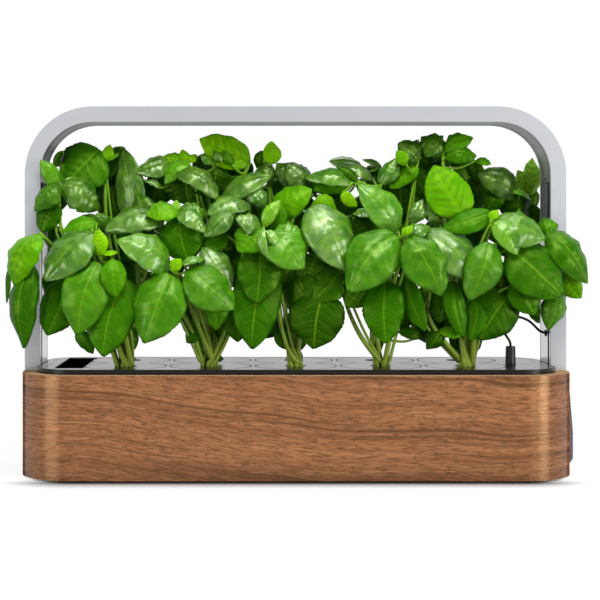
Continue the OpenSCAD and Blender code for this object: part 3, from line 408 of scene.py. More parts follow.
def board_material():
    s = Shader("circuit_board")
    brick = {"Vector": s.point(), "Scale": 90, "Mortar Size": 0.012}
    tracks = s.out("ShaderNodeTexBrick", brick, "Fac")
    colour = s.mix(tracks, linear(20, 92, 58), linear(34, 120, 78))
    return s.finish(Base_Color=colour, Roughness=0.4, Specular_IOR_Level=0.5)


PANEL_SIDE = 0.008
PANEL_END = 0.003
PANEL_CORNER = 0.006
PANEL_JOINT = (0.0011, 0.0006)


def diffuser_material():
    """Frosted panel with rounded corners, and the joint and the frame strip round it."""
    s = Shader("diffuser")
    low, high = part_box("light_diffuser")
    _, y, z = s.split(s.point())
    half = (high.y - low.y) / 2
    from_middle = s.size(s.minus(y, (low.y + high.y) / 2))
    past_side = s.minus(from_middle, half - PANEL_SIDE - PANEL_CORNER)
    past_end = s.minus(low.z + PANEL_END + PANEL_CORNER, z)
    outside = s.minus(s.length(s.larger(past_side, 0.0), s.larger(past_end, 0.0)), PANEL_CORNER)
    colour = s.tones(s.grain(10), [(0.3, (116, 117, 118)), (0.7, (122, 123, 124))])
    colour = s.stain(colour, outside, 0.0, 0.0004, 1.0, (100, 101, 103))
    colour = s.stain(colour, s.size(outside), *PANEL_JOINT, 1.0, (48, 49, 51))
    return s.finish(Base_Color=colour, Roughness=0.42, Normal=s.bump((s.grain(1500), 0.3, 0.00004)))


def chip_material():
    s = Shader("led_chip")
    colour = s.tones(s.grain(700, 1.0), [(0.4, (236, 214, 120)), (0.6, (246, 232, 170))])
    return s.finish(Base_Color=colour, Roughness=0.3)


VEIN_PAIRS = 6
VEIN_SWEEP = 0.42
VEIN_BEND = 1.15
LEAF_SHEEN = (0.60, 1.0, 0.10, 1.0)
# Painted shade and light in the leaf colour: from the dark leaves inside a bush to the lime ones that the
# light shines through
LEAF_GREENS = [
    (0.0, (10, 50, 0)), (0.25, (27, 88, 0)), (0.5, (48, 120, 0)), (0.75, (78, 156, 2)), (1.0, (140, 208, 4)),
]
LEAF_EDGE_ON = (0.55, 0.95)
THROUGH_LEAF = 0.20
STEM_TONES = [(0.0, (134, 150, 58)), (0.25, (140, 170, 64)), (0.8, (118, 168, 44)), (1.0, (118, 172, 40))]
STEM_RISE = (0.085, 0.200)


def leaf_material(underside=False):
    """Leaf blade: green by the leaf's tone, partly painted shade and light, pale veins from its UV, painted
    sheen and painted shade in the vein valleys, soft sheen, light through it.
    """
    s = Shader("leaf_underside" if underside else "leaf_top")
    colour_of_leaf = s.out("ShaderNodeAttribute", output="Color", attribute_name="tone")
    tone, pale, chance = s.node("ShaderNodeSeparateColor", {0: colour_of_leaf}).outputs[:3]
    along, across, _ = s.split(s.out("ShaderNodeUVMap", uv_map="blade"))
    side = s.size(s.times(s.minus(across, 0.5), 2.0))
    # Lateral veins leave the midrib and bend forwards: vein_u is constant along each of them
    reach = s.times(s.math("POWER", side, VEIN_BEND), VEIN_SWEEP)
    vein_u = s.math("DIVIDE", s.minus(along, reach), s.minus(1.0, reach))
    wave = s.math("COSINE", s.times(vein_u, 2 * math.pi * VEIN_PAIRS))
    fade = s.fit(side, 0.95, 0.45)
    lateral = s.times(s.times(s.fit(wave, 0.955, 1.0), fade), 0.75)
    veins = s.math("MAXIMUM", lateral, s.fit(side, 0.055, 0.015), True)
    mottle = s.grain(120, 3.0)
    small = s.grain(1000)
    cells = {"Vector": s.point(), "Scale": 270}
    web = s.out("ShaderNodeTexVoronoi", cells, "Distance", feature="DISTANCE_TO_EDGE")
    shifted = s.math("ADD", tone, s.times(s.minus(mottle, 0.5), 0.30), True)
    # Painted sheen: pale patches in the colour of the leaves marked pale
    painted_sheen = s.times(pale, s.fit(mottle, 0.35, 0.7))
    green = s.stain(s.tones(shifted, LEAF_GREENS), painted_sheen, 0.0, 1.0, 0.50, (160, 208, 60))
    colour = s.stain(green, small, 0.40, 0.65, 0.08, (120, 180, 20))
    # Painted shade: the valleys along the veins are darker than the swells between them
    painted_valley_shade = s.times(s.fit(wave, -0.6, 1.0), fade)
    colour = s.stain(colour, painted_valley_shade, 0.0, 1.0, 0.34, (14, 62, 0))
    colour = s.mix(s.times(veins, 0.62), colour, s.mix(0.50, green, linear(150, 200, 36)))
    if underside:
        colour = s.mix(0.30, colour, linear(116, 156, 70))
    relief = s.bump(
        (s.grain(110, 1.0), 0.04, 0.0040),
        (veins, 0.8 if underside else -1.0, 0.0009),
        (s.fit(web, 0.0, 0.16), 0.10, 0.0004),
        (small, 0.22, 0.0002),
    )
    sheen = 0.30 if underside else s.math("ADD", s.times(pale, 0.6), 0.40)
    blade = s.principled(
        Base_Color=colour,
        Roughness=0.6 if underside else s.fit(chance, 0.0, 1.0, 0.34, 0.46),
        Specular_IOR_Level=s.times(sheen, s.face_on(*LEAF_EDGE_ON)),
        Specular_Tint=LEAF_SHEEN,
        Coat_Weight=s.times(s.fit(pale, 0.20, 0.9), s.face_on(*LEAF_EDGE_ON)),
        Coat_Roughness=0.31,
        Coat_IOR=1.8,
        Normal=relief,
        Coat_Normal=relief,
    )
    glow = s.mix(0.6, colour, linear(124, 202, 2))
    through = s.out("ShaderNodeBsdfTranslucent", {"Color": glow, "Normal": relief})
    return s.surface(s.out("ShaderNodeMixShader", {0: THROUGH_LEAF, 1: blade, 2: through}))


def stem_material():
    s = Shader("leaf_stem")
    ribs = s.grain((900, 900, 30))
    colour = s.tones(s.fit(s.split(s.point())[2], *STEM_RISE), STEM_TONES)
    colour = s.stain(colour, ribs, 0.4, 0.7, 0.3, (66, 84, 20))
    relief = s.bump((ribs, 0.4, 0.0003))
    return s.finish(Base_Color=colour, Roughness=0.38, Normal=relief, Specular_Tint=LEAF_SHEEN)


black = deck_material()
black_matte = plastic_material("black_matte", (22, 21, 20), 0.42)
rubber = plastic_material("rubber", (30, 30, 30), 0.75)
tank_grey = plastic_material("tank_grey", (58, 60, 62), 0.4)
grey_plastic = plastic_material("grey_plastic", (102, 96, 106), 0.4)
white_plastic = plastic_material("white_plastic", (224, 224, 220), 0.4)
steel = aluminium_material("steel", (168, 170, 172), 0.28, 1.0)
satin = aluminium_material("satin_aluminium", (190, 192, 196), 0.42, 0.35)
foam = foam_material()
blade_top = leaf_material()
blade_under = leaf_material(underside=True)
stalk = stem_material()

DRESS = [
    (walnut_material(), "wood_sleeve"),
    (black, "deck leg_bezel_left leg_bezel_right"),
    (black_matte, "bottom_cover leg_socket_left leg_socket_right paddle_bezel"),
    (black_matte, "lead_plug lead_socket power_jack"),
    (rubber, "rubber_feet deck_seal led_wire lead_grommet inner_cables"),
    (tank_grey, "water_tank"),
    (grey_plastic, "side_paddle push_switch level_stem"),
    (white_plastic, "led_board switch_plunger level_float"),
    (steel, "arch_tongue_left arch_tongue_right tongue_screws bottom_screws"),
    (steel, "board_screws jack_nut paddle_pin float_clip"),
    (satin, "arch_frame"),
    (liner_material(), "arch_liner_left arch_liner_right"),
    (diffuser_material(), "light_diffuser"),
    (chip_material(), "led_chips"),
    (board_material(), "control_board"),
    (foam, "spare_grow_plugs"),
]
for number in PLANTS:
    DRESS.append((black, f"pod_front_{number} pod_back_{number}"))
    DRESS.append((foam, f"grow_plug_{number}"))

for material, names in DRESS:
    for name in names.split():
        mesh = NODES[name].data
        mesh.materials.clear()
        mesh.materials.append(material)


# ---------------- meshes


def add_mesh(name, points, faces, materials, smooth=True):
    mesh = bpy.data.meshes.new(name)
    mesh.from_pydata([tuple(p) for p in points], [], [tuple(int(i) for i in f) for f in faces])
    mesh.update()
    for material in materials:
        mesh.materials.append(material)
    if smooth:
        mesh.polygons.foreach_set("use_smooth", [True] * len(mesh.polygons))
    made = bpy.data.objects.new(name, mesh)
    scene.collection.objects.link(made)
    return made


def spline(points, steps):
    """Smooth curve through control points (Catmull-Rom), steps samples to a span."""
    pts = [Vector(p) for p in points]
    pts = [pts[0] * 2 - pts[1]] + pts + [pts[-1] * 2 - pts[-2]]
    out = []
    for a, b, c, d in zip(pts, pts[1:], pts[2:], pts[3:]):
        for k in range(steps):
            t = k / steps
            bend = (2 * a - 5 * b + 4 * c - d) * t**2
            out.append(0.5 * ((2 * b) + (c - a) * t + bend + (3 * b - a - 3 * c + d) * t**3))
    out.append(pts[-2])
    return out


class Tubes:
    """Swept tubes gathered into one mesh."""

    def __init__(self, sides):
        self.sides = sides
        self.points = []
        self.faces = []

    def add(self, path, radii):
        first = len(self.points)
        n = self.sides
        up = Vector((0.13, 0.97, 0.2))
        for i, p in enumerate(path):
            ahead = path[min(i + 1, len(path) - 1)] - path[max(i - 1, 0)]
            across = ahead.cross(up).normalized()
            up = across.cross(ahead).normalized()
            for k in range(n):
                turn = 2 * math.pi * k / n
                self.points.append(p + (across * math.cos(turn) + up * math.sin(turn)) * radii[i])
        for i in range(len(path) - 1):
            for k in range(n):
                a = first + i * n + k
                b = first + i * n + (k + 1) % n
                self.faces.append((a, b, b + n, a + n))
        self.faces.append(tuple(first + k for k in range(n))[::-1])
        last = first + (len(path) - 1) * n
        self.faces.append(tuple(last + k for k in range(n)))


# ---------------- basil leaves
LEG_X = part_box("arch_liner_right")[0].x
LEG_HALF_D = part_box("arch_frame")[1].y
DECK_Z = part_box("deck")[1].z
BOX_LO, BOX_HI = cad_box
LEG_ROOM = 0.0022
LEG_NEAR = 0.016
LEG_FADE = 0.014
LEAD_WAY_X = 0.1645
LEAD_WAY_Y = (-0.0145, 0.0025)
LEAD_FADE = 0.012
LOWEST_LEAF = DECK_Z + 0.003
HIGHEST_LEAF = 0.2785
END_ROOM = 0.0005
FACE_ROOM = 0.001


def kept_clear(p):
    """Moves the points of a blade or stem off the arch's legs and the lead's way up, and into the box."""
    wall = LEG_HALF_D + LEG_ROOM
    y = p[:, 1]
    near_leg = np.clip((np.abs(p[:, 0]) - (LEG_X - LEG_NEAR)) / LEG_FADE, 0, 1)
    pushed = np.where(y < 0, np.minimum(y, -wall), np.maximum(y, wall))
    y = y + (pushed - y) * near_leg
    low, high = LEAD_WAY_Y
    near_lead = np.clip((p[:, 0] - (LEAD_WAY_X - LEAD_FADE)) / LEAD_FADE, 0, 1)
    pushed = np.where(y < (low + high) / 2, np.minimum(y, low), np.maximum(y, high))
    y = y + (pushed - y) * near_lead
    p[:, 1] = np.clip(y, BOX_LO.y + FACE_ROOM, BOX_HI.y - FACE_ROOM)
    p[:, 0] = np.clip(p[:, 0], BOX_LO.x + END_ROOM, BOX_HI.x - END_ROOM)
    p[:, 2] = np.clip(p[:, 2], LOWEST_LEAF, HIGHEST_LEAF)
    return p


def facing(azimuth, elevation):
    """Unit vector: azimuth 0 faces the camera and 90 faces +X, elevation is above the horizon."""
    a, e = math.radians(azimuth), math.radians(elevation)
    return Vector((math.sin(a) * math.cos(e), -math.cos(a) * math.cos(e), math.sin(e)))


LEAF_THICK = 0.00045


class Blades:
    """Leaf blades of one plant, gathered into one mesh with a UV map and a tone for each leaf."""

    def __init__(self):
        self.points = []
        self.faces = []
        self.uvs = []
        self.tones = []

    def add(self, grid, tone, pale, chance):
        rows, columns = grid.shape[:2]
        first = len(self.points)
        for i in range(rows):
            for k in range(columns):
                self.points.append(grid[i, k])
                self.uvs.append((i / (rows - 1), k / (columns - 1)))
                self.tones.append((tone, pale, chance, 1.0))
        for i in range(rows - 1):
            for k in range(columns - 1):
                a = first + i * columns + k
                self.faces.append((a, a + columns, a + columns + 1, a + 1))

    def build(self, name):
        made = add_mesh(name, self.points, self.faces, [blade_top, blade_under])
        mesh = made.data
        uv_layer = mesh.uv_layers.new(name="blade")
        corner_points = np.zeros(len(mesh.loops), dtype=np.int32)
        mesh.loops.foreach_get("vertex_index", corner_points)
        uv_layer.data.foreach_set("uv", np.array(self.uvs)[corner_points].ravel())
        tones = mesh.attributes.new("tone", "FLOAT_COLOR", "POINT")
        tones.data.foreach_set("color", np.array(self.tones, dtype=np.float32).ravel())
        thick = made.modifiers.new("thickness", "SOLIDIFY")
        thick.thickness = LEAF_THICK
        thick.offset = -1
        thick.material_offset = 1
        thick.use_rim = True
        return made


# Relief of a blade, as shares of its width
BULGE = 0.024
GROOVE = 0.022
EDGE_WAVE = 0.028
WANDER = 0.010
TOOTH = 0.018
TEETH = 11
EDGE_WAVES = 3.2
SHAPE_GAIN = 2.26
TIP_FROM, TIP_SHARE = 0.8, 0.2


def unit(v):
    return v / np.linalg.norm(v)


def leaf_grid(base, tip, normal, width, style, rng, rows, columns):
    """Points of a basil leaf's blade: ovate, arched along its midrib, domed between its veins."""
    arch, cup, ripple = STYLES[style]
    base, tip = np.array(base), np.array(tip)
    length = np.linalg.norm(tip - base)
    along = (tip - base) / length
    up = unit(np.array(normal) - np.dot(np.array(normal), along) * along)
    across = np.cross(up, along)
    u = np.linspace(0.0, 1.0, rows)
    # Neither end of the blade shrinks to a single point
    u[0] = 0.012
    u[-1] = 0.992
    # Midrib: rises from the stalk, then droops, more so towards the tip
    rise = arch * length * (4 * u * (1 - u)) * (1.15 - 0.3 * u)
    tilt = np.arctan(np.gradient(rise, u * length))
    centre = base + np.outer(u * length, along) + np.outer(rise, up)
    normals = np.outer(np.cos(tilt), up) - np.outer(np.sin(tilt), along)
    # Half width: round near the stalk, widest before the middle, drawn out to a point
    drawn_out = 1 - 0.35 * np.clip((u - TIP_FROM) / TIP_SHARE, 0, 1) ** 2
    half = width / 2 * SHAPE_GAIN * u**0.50 * (1 - u) ** 0.67 * drawn_out
    twist = rng.uniform(-0.25, 0.25)
    wave_phase = rng.uniform(0, 2 * math.pi)
    lean = rng.uniform(-0.12, 0.12)
    sway = rng.choice((-1, 1)) * rng.uniform(0.02, 0.06) * length
    # From here each value holds for rows along the blade and columns across it
    U, V = np.meshgrid(u, np.linspace(-1.0, 1.0, columns), indexing="ij")
    H = np.repeat(half[:, None], columns, axis=1)
    A = np.abs(V)
    reach = VEIN_SWEEP * A**VEIN_BEND
    vein_u = (U - reach) / (1 - reach)
    between = 0.5 - 0.5 * np.cos(2 * np.pi * VEIN_PAIRS * vein_u)
    dome = between * np.clip(A / 0.16, 0, 1) * (1 - A**3)
    bulge = BULGE * ripple * width * dome * np.sin(np.pi * np.clip(U * 1.02, 0, 1)) ** 0.5
    groove = -GROOVE * width * np.exp(-((A / 0.13) ** 2))
    phase = 2 * np.pi * EDGE_WAVES * U + wave_phase + 1.7 * np.sign(V)
    edge = EDGE_WAVE * ripple * width * A**3 * np.sin(phase)
    roll = -cup * H * A**1.8 * (0.75 + 0.25 * U) + lean * H * V
    wander = WANDER * ripple * width * np.sin(5.1 * U + 3.7 * V + wave_phase) * np.sin(7.3 * U - 2.9 * V)
    lift = roll + bulge + groove + edge + wander
    lateral = V * H * (1 - 0.20 * min(1.0, abs(cup)) * A**2) + sway * np.sin(np.pi * U)
    serration = 1 + TOOTH * ripple * (A == 1) * np.sin(2 * np.pi * TEETH * U)
    turn = (twist * (U - 0.4))[..., None]
    side = np.cos(turn) * across + np.sin(turn) * normals[:, None, :]
    top = np.cos(turn) * normals[:, None, :] - np.sin(turn) * across
    grid = centre[:, None, :] + side * (lateral * serration)[..., None] + top * lift[..., None]
    return kept_clear(grid.reshape(-1, 3)).reshape(rows, columns, 3)


# How a blade is shaped: arch of its midrib, fall of its edges, and how much it swells between the veins
STYLES = {
    "flat": (0.10, 0.26, 1.0),
    "broad": (0.16, 0.36, 1.0),
    "dome": (0.22, 0.44, 1.1),
    "quilt": (0.24, 0.42, 1.9),
    "curl": (0.20, 0.70, 1.4),
    "young": (0.14, 0.42, 1.0),
}
# Leaves at the front and top of each plant, placed one by one, in mm. Each is: foot and tip, with x from the
# plant's pod, width, where the upper face looks (turn from the front, tilt above level), style, tone from
# dark 0 to lime 1, partly painted shade and light, and paleness from 0 to 1, which paints sheen and adds
# gloss.
# Every width in the tables is widened by GROWN_WIDTH.
GROWN_WIDTH = 48 / 44
LEAVES = {}
LEAVES[1] = [
    ((-24, 0, 260), (-53, -6, 229), 44, -10, 8, "flat", 0.4, 0.2),
    ((-54, -25, 227), (-68, -27, 249), 14, 20, 0, "young", 0.66, 0.3),
    ((-53, -27, 231), (-72, -33, 208), 26, -35, 20, "curl", 0.34, 0.3),
    ((-55, -26, 215), (-67, -28, 191), 20, -20, -5, "flat", 0.26, 0),
    ((-52, -24, 230), (-22, -14, 209), 31, 8, 32, "quilt", 0.32, 0.6),
    ((-19, -2, 250), (-15, -2, 263), 10, 0, 30, "young", 0.95, 0.2),
    ((-18, -2, 250), (-7, 0, 256), 8, 0, 60, "young", 0.8, 0.2),
    ((4, -8, 198), (-4, 0, 260), 25, -22, 12, "flat", 0.28, 0.5),
    ((11, -12, 205), (7, -4, 241), 15, 50, 5, "flat", 0.22, 0.3),
    ((16, -22, 197), (9, -18, 222), 22, -10, 20, "broad", 0.18, 0.3),
    ((-7, 10, 198), (-15, 12, 236), 28, 0, -5, "flat", 0.05, 0),
    ((-15, -20, 194), (-24, -22, 207), 13, -10, 30, "broad", 0.48, 0.4),
    ((-66, -50, 191), (-84, -58, 150), 31, -26, 30, "dome", 0.8, 0.1),
    ((-85, -46, 170), (-91, -48, 136), 10, -60, 10, "young", 0.3, 0),
    ((-71, -50, 167), (-76, -57, 101), 26, -20, 4, "curl", 0.3, 0),
    ((-25, -48, 193), (-60, -61, 154), 38, -8, 38, "broad", 0.42, 0.6),
    ((-48, -41, 161), (-62, -43, 142), 24, -10, 10, "flat", 0.45, 0),
    ((-43, -46, 154), (-60, -50, 111), 30, 0, 0, "flat", 0.38, 0),
    ((-19, -58, 169), (-34, -66, 112), 36, 0, 24, "broad", 0.62, 0.25),
    ((-18, -59, 173), (-19, -55, 194), 14, -10, 30, "young", 1, 0),
    ((-15, -58, 175), (-3, -60, 176), 9, 0, 60, "young", 1, 0),
    ((-7, -63, 171), (-4, -67, 141), 20, 5, 18, "broad", 0.7, 0.1),
    ((2, -53, 156), (-15, -60, 95), 38, 4, 10, "flat", 0.5, 0.1),
    ((-37, -44, 115), (-24, -44, 96), 13, -20, 0, "young", 0.36, 0),
    ((-22, -28, 199), (-50, -32, 192), 15, 0, 30, "flat", 0.7, 0.1),
    ((-21, -22, 196), (-40, -24, 201), 18, 0, 10, "flat", 0.08, 0),
]
LEAVES[2] = [
    ((-36, -30, 202), (-83, -42, 192), 32, -8, 55, "dome", 0.42, 0.9),
    ((-30, -50, 162), (-72, -61, 186), 34, -4, 42, "dome", 0.66, 0.8),
    ((-25, -40, 209), (-50, -46, 205), 23, -5, 42, "broad", 0.78, 0.2),
    ((-25, -36, 209), (-2, -30, 205), 22, 5, 50, "quilt", 0.55, 0.9),
    ((-26, -42, 207), (-4, -51, 191), 19, 10, 46, "quilt", 0.5, 0.9),
    ((-25, -38, 206), (-16, -46, 167), 34, 0, 15, "flat", 0.4, 0),
    ((-26, -40, 207), (-27, -40, 217), 7, 0, 40, "young", 0.95, 0.5),
    ((-31, -4, 248), (-61, -12, 240), 22, -5, 38, "broad", 0.3, 0.8),
    ((-34, 1, 238), (-50, 1, 214), 25, 0, 0, "flat", 0.08, 0),
    ((4, 1, 246), (-1, 1, 220), 28, 0, -5, "flat", 0.1, 0),
    ((-22, -1, 249), (-40, -3, 253), 12, 0, 40, "young", 0.85, 0.2),
    ((-21, -3, 249), (-24, 0, 259), 9, 0, 30, "young", 0.9, 0),
    ((-20, -3, 249), (-12, 0, 255), 9, 0, 40, "young", 0.9, 0),
    ((-18, -10, 249), (-37, -18, 230), 17, -20, 36, "dome", 0.72, 0.3),
    ((-28, -18, 240), (7, -24, 217), 22, 12, 46, "quilt", 0.26, 0.7),
    ((-20, -6, 240), (-18, -8, 213), 40, 0, -12, "flat", 0.04, 0),
    ((-40, -12, 227), (-54, -14, 233), 9, 0, 50, "quilt", 0.55, 0.9),
    ((-30, -59, 160), (-51, -67, 106), 42, -4, 26, "broad", 0.6, 0.28),
    ((-18, -58, 163), (20, -62, 132), 35, 4, 28, "broad", 0.56, 0.32),
    ((-29, -62, 162), (-22, -62, 171), 10, 0, 30, "young", 0.98, 0),
    ((-22, -60, 166), (-3, -54, 170), 10, 0, 60, "quilt", 0.6, 0.9),
    ((2, -50, 151), (5, -55, 115), 20, 0, 10, "flat", 0.46, 0.1),
    ((-5, -45, 180), (16, -49, 146), 26, 10, 40, "broad", 0.34, 0.9),
    ((14, -40, 189), (-8, -42, 178), 18, 0, 20, "flat", 0.42, 0),
    ((20, -38, 142), (21, -40, 105), 24, 0, 0, "flat", 0.26, 0),
    ((-10, -32, 113), (-19, -32, 104), 11, 0, 10, "flat", 0.35, 0),
    ((32, -28, 213), (-3, -40, 205), 24, -5, 56, "dome", 0.45, 1),
    ((17, -42, 207), (-5, -47, 188), 20, -8, 38, "broad", 0.34, 0.6),
    ((32, -20, 213), (14, -18, 224), 14, 0, 60, "quilt", 0.5, 1),
    ((32, 8, 250), (-10, 2, 268), 28, 0, 22, "flat", 0.92, 0.1),
    ((1, -4, 247), (-9, -6, 254), 12, 0, 50, "curl", 0.28, 0.4),
    ((9, -4, 248), (2, -2, 258), 11, -10, 40, "curl", 0.28, 0.4),
    ((17, -4, 246), (11, -2, 258), 10, 10, 30, "curl", 0.4, 0.2),
    ((8, -14, 219), (49, -20, 237), 28, 0, 50, "dome", 0.36, 0.7),
    ((9, -4, 224), (33, -4, 230), 24, 0, -15, "flat", 0.03, 0),
    ((32, -8, 200), (22, -6, 225), 28, 0, 0, "flat", 0.1, 0),
]
LEAVES[3] = [
    ((-19, 4, 247), (-19, 4, 266), 15, 10, 4, "flat", 0.95, 0),
    ((-33, 4, 240), (-13, 2, 238), 20, 0, 25, "dome", 0.12, 0.4),
    ((-35, -3, 232), (-38, -5, 206), 22, 0, 0, "flat", 0.1, 0),
    ((-23, -22, 212), (-40, -24, 230), 17, 0, 40, "quilt", 0.5, 0.8),
    ((-19, -25, 206), (13, -31, 226), 27, 0, 32, "broad", 0.78, 0.1),
    ((-27, -45, 195), (-48, -51, 202), 23, -4, 45, "quilt", 0.42, 0.8),
    ((-30, -50, 195), (-45, -58, 176), 29, -8, 26, "broad", 0.68, 0.2),
    ((-26, -46, 196), (-13, -44, 217), 11, 20, 20, "young", 0.92, 0.5),
    ((-20, -38, 193), (-11, -36, 215), 16, -10, 15, "flat", 0.58, 0.1),
    ((-27, -65, 195), (-22, -67, 171), 9, -30, 20, "quilt", 0.8, 1),
    ((-24, -64, 193), (-15, -66, 180), 10, 0, 30, "quilt", 0.8, 1),
    ((-22, -57, 191), (5, -66, 163), 36, 6, 30, "broad", 0.72, 0.4),
    ((-29, -49, 180), (-31, -57, 136), 34, 0, 10, "flat", 0.3, 0.1),
    ((-24, -43, 168), (-35, -52, 100), 37, 4, 5, "flat", 0.36, 0),
    ((-17, -52, 192), (7, -50, 188), 22, 5, 42, "quilt", 0.72, 0.6),
    ((5, -2, 228), (-15, 0, 248), 26, -6, 36, "dome", 0.1, 0.5),
    ((10, -6, 226), (-8, -4, 247), 24, 6, 36, "dome", 0.1, 0.5),
    ((33, -20, 210), (12, -22, 213), 20, 0, 10, "flat", 0.88, 0),
    ((30, -14, 209), (18, -14, 219), 18, 0, 0, "flat", 0.1, 0),
    ((10, -44, 212), (40, -55, 161), 40, 5, 34, "broad", 0.46, 0.9),
    ((17, -40, 174), (7, -40, 150), 30, 0, 5, "flat", 0.16, 0.2),
    ((33, -44, 160), (13, -46, 139), 26, -5, 10, "flat", 0.24, 0.1),
    ((-3, -38, 157), (24, -40, 121), 32, -16, 0, "flat", 0.18, 0.1),
    ((21, -44, 145), (14, -46, 100), 42, 0, -5, "flat", 0.12, 0),
    ((-13, -32, 117), (-5, -32, 98), 13, 0, 0, "flat", 0.33, 0),
]
LEAVES[4] = [
    ((13, -40, 192), (-19, -46, 229), 30, -5, 34, "broad", 0.72, 0.6),
    ((2, -8, 230), (15, -6, 252), 17, -20, 18, "young", 0.48, 0.6),
    ((32, -6, 245), (9, -8, 227), 16, 0, 15, "flat", 0.74, 0.1),
    ((33, -6, 249), (16, -6, 264), 28, -8, 24, "quilt", 0.14, 0.3),
    ((22, -14, 246), (14, -14, 257), 10, -10, 10, "flat", 0.85, 0),
    ((-18, -8, 232), (-60, -10, 235), 22, 0, 50, "dome", 0.5, 0.7),
    ((-17, -13, 233), (-34, -10, 245), 9, 10, 20, "young", 0.2, 0),
    ((-21, -13, 232), (-53, -15, 225), 17, 0, 5, "flat", 0.6, 0),
    ((-24, -4, 224), (-41, -6, 204), 22, 0, 0, "flat", 0.12, 0),
    ((-30, -16, 224), (-18, -16, 212), 10, 0, 10, "flat", 0.96, 0),
    ((-13, 14, 248), (-39, 12, 250), 14, 0, 40, "flat", 0.58, 1),
    ((-3, 6, 235), (-34, 4, 245), 18, 0, 52, "quilt", 0.4, 0.9),
    ((4, 8, 245), (-12, 6, 251), 7, 0, 50, "young", 0.5, 0.9),
    ((18, 10, 200), (16, 12, 244), 32, 0, 0, "flat", 0.02, 0),
    ((24, -30, 198), (33, -28, 218), 14, 10, 30, "quilt", 0.42, 0.8),
    ((-1, -20, 209), (-22, -22, 206), 13, 0, 55, "flat", 0.42, 0.9),
    ((2, -14, 197), (-15, -14, 207), 17, 0, -5, "flat", 0.08, 0),
    ((-5, -20, 185), (-22, -16, 205), 26, 0, 0, "flat", 0.12, 0),
    ((14, -58, 190), (22, -56, 197), 8, 0, 40, "young", 0.92, 0),
    ((19, -50, 189), (37, -42, 196), 15, 4, 46, "quilt", 0.48, 0.8),
    ((10, -54, 190), (-28, -66, 145), 41, -6, 30, "broad", 0.58, 0.32),
    ((18, -57, 188), (44, -67, 142), 34, 4, 30, "quilt", 0.5, 0.28),
    ((2, -50, 154), (2, -56, 105), 31, 0, 6, "flat", 0.42, 0),
    ((18, -46, 156), (33, -50, 114), 17, -12, 10, "flat", 0.4, 0),
    ((-12, -43, 155), (-29, -45, 133), 24, 0, 5, "flat", 0.22, 0.1),
    ((15, -36, 150), (26, -36, 121), 18, 0, 0, "flat", 0.06, 0),
    ((32, -30, 109), (13, -30, 113), 11, 0, 30, "young", 0.18, 0),
    ((-2, -34, 168), (-9, -36, 139), 26, 0, 0, "flat", 0.08, 0),
]
LEAVES[5] = [
    ((-32, -41, 194), (8, -52, 154), 37, 6, 40, "broad", 0.42, 0.8),
    ((-15, -4, 254), (-33, -2, 269), 24, -6, 34, "quilt", 0.22, 0.3),
    ((-15, -4, 257), (10, -2, 268), 17, 4, 34, "quilt", 0.66, 0.1),
    ((-14, -8, 252), (12, -6, 253), 20, 6, 30, "quilt", 0.4, 0.1),
    ((-24, 10, 214), (-18, 12, 251), 26, 0, 0, "flat", 0.03, 0),
    ((-1, -34, 204), (-26, -29, 245), 35, -4, 15, "flat", 0.82, 0.05),
    ((-20, -22, 212), (-22, -22, 237), 8, 0, 10, "flat", 0.6, 0.9),
    ((-20, -28, 198), (-32, -28, 215), 15, -5, 25, "quilt", 0.33, 0.6),
    ((18, -40, 207), (-20, -42, 194), 20, 0, 26, "flat", 0.5, 0.05),
    ((16, -46, 202), (23, -44, 209), 8, 0, 30, "young", 0.96, 0),
    ((49, 10, 222), (14, 7, 240), 25, 0, 14, "broad", 0.2, 0.6),
    ((12, 0, 250), (25, -2, 247), 8, 0, 40, "young", 0.58, 0.1),
    ((61, 34, 222), (64, 34, 254), 17, -5, 24, "quilt", 1, 0.4),
    ((60, 36, 220), (53, 36, 244), 17, 5, 24, "quilt", 1, 0.3),
    ((60, 10, 219), (33, 8, 228), 9, 0, 48, "flat", 0.8, 0.4),
    ((50, 12, 227), (49, 12, 202), 22, 0, 0, "flat", 0.1, 0),
    ((17, -42, 200), (60, -47, 186), 38, 4, 40, "dome", 0.55, 0.6),
    ((19, -51, 200), (36, -57, 174), 20, 0, 30, "broad", 0.8, 0.6),
    ((56, -32, 194), (73, -31, 197), 18, 6, 34, "quilt", 0.55, 0.2),
    ((63, -34, 193), (95, -38, 151), 31, 6, 30, "dome", 0.36, 0.2),
    ((76, -30, 162), (91, -30, 139), 18, 0, -10, "flat", 0.85, 0),
    ((15, -53, 184), (-2, -58, 138), 29, -2, 24, "broad", 0.52, 0.3),
    ((31, -48, 180), (72, -53, 142), 42, 4, 16, "flat", 0.32, 0.1),
    ((37, -45, 156), (52, -46, 127), 25, 0, 6, "flat", 0.42, 0),
    ((70, -38, 146), (63, -39, 114), 22, 10, 10, "curl", 0.48, 0.3),
    ((-14, -44, 154), (-4, -45, 109), 17, 10, 10, "flat", 0.38, 0),
    ((7, -42, 140), (1, -42, 106), 17, -6, 5, "flat", 0.38, 0),
    ((34, -39, 146), (8, -43, 107), 35, 0, 5, "flat", 0.22, 0),
    ((41, 10, 130), (31, 10, 106), 17, 10, 0, "flat", 0.82, 0.1),
    ((5, -34, 163), (11, -34, 138), 30, 0, 0, "flat", 0.1, 0),
    ((24, -36, 168), (29, -36, 138), 28, 0, 0, "flat", 0.08, 0),
    ((-22, -40, 148), (-22, -40, 120), 22, 0, 0, "flat", 0.14, 0),
    ((-20, -36, 115), (-32, -36, 99), 17, 0, 5, "curl", 0.2, 0),
    ((-3, -37, 112), (-24, -37, 114), 11, 0, 30, "young", 0.78, 0.1),
]
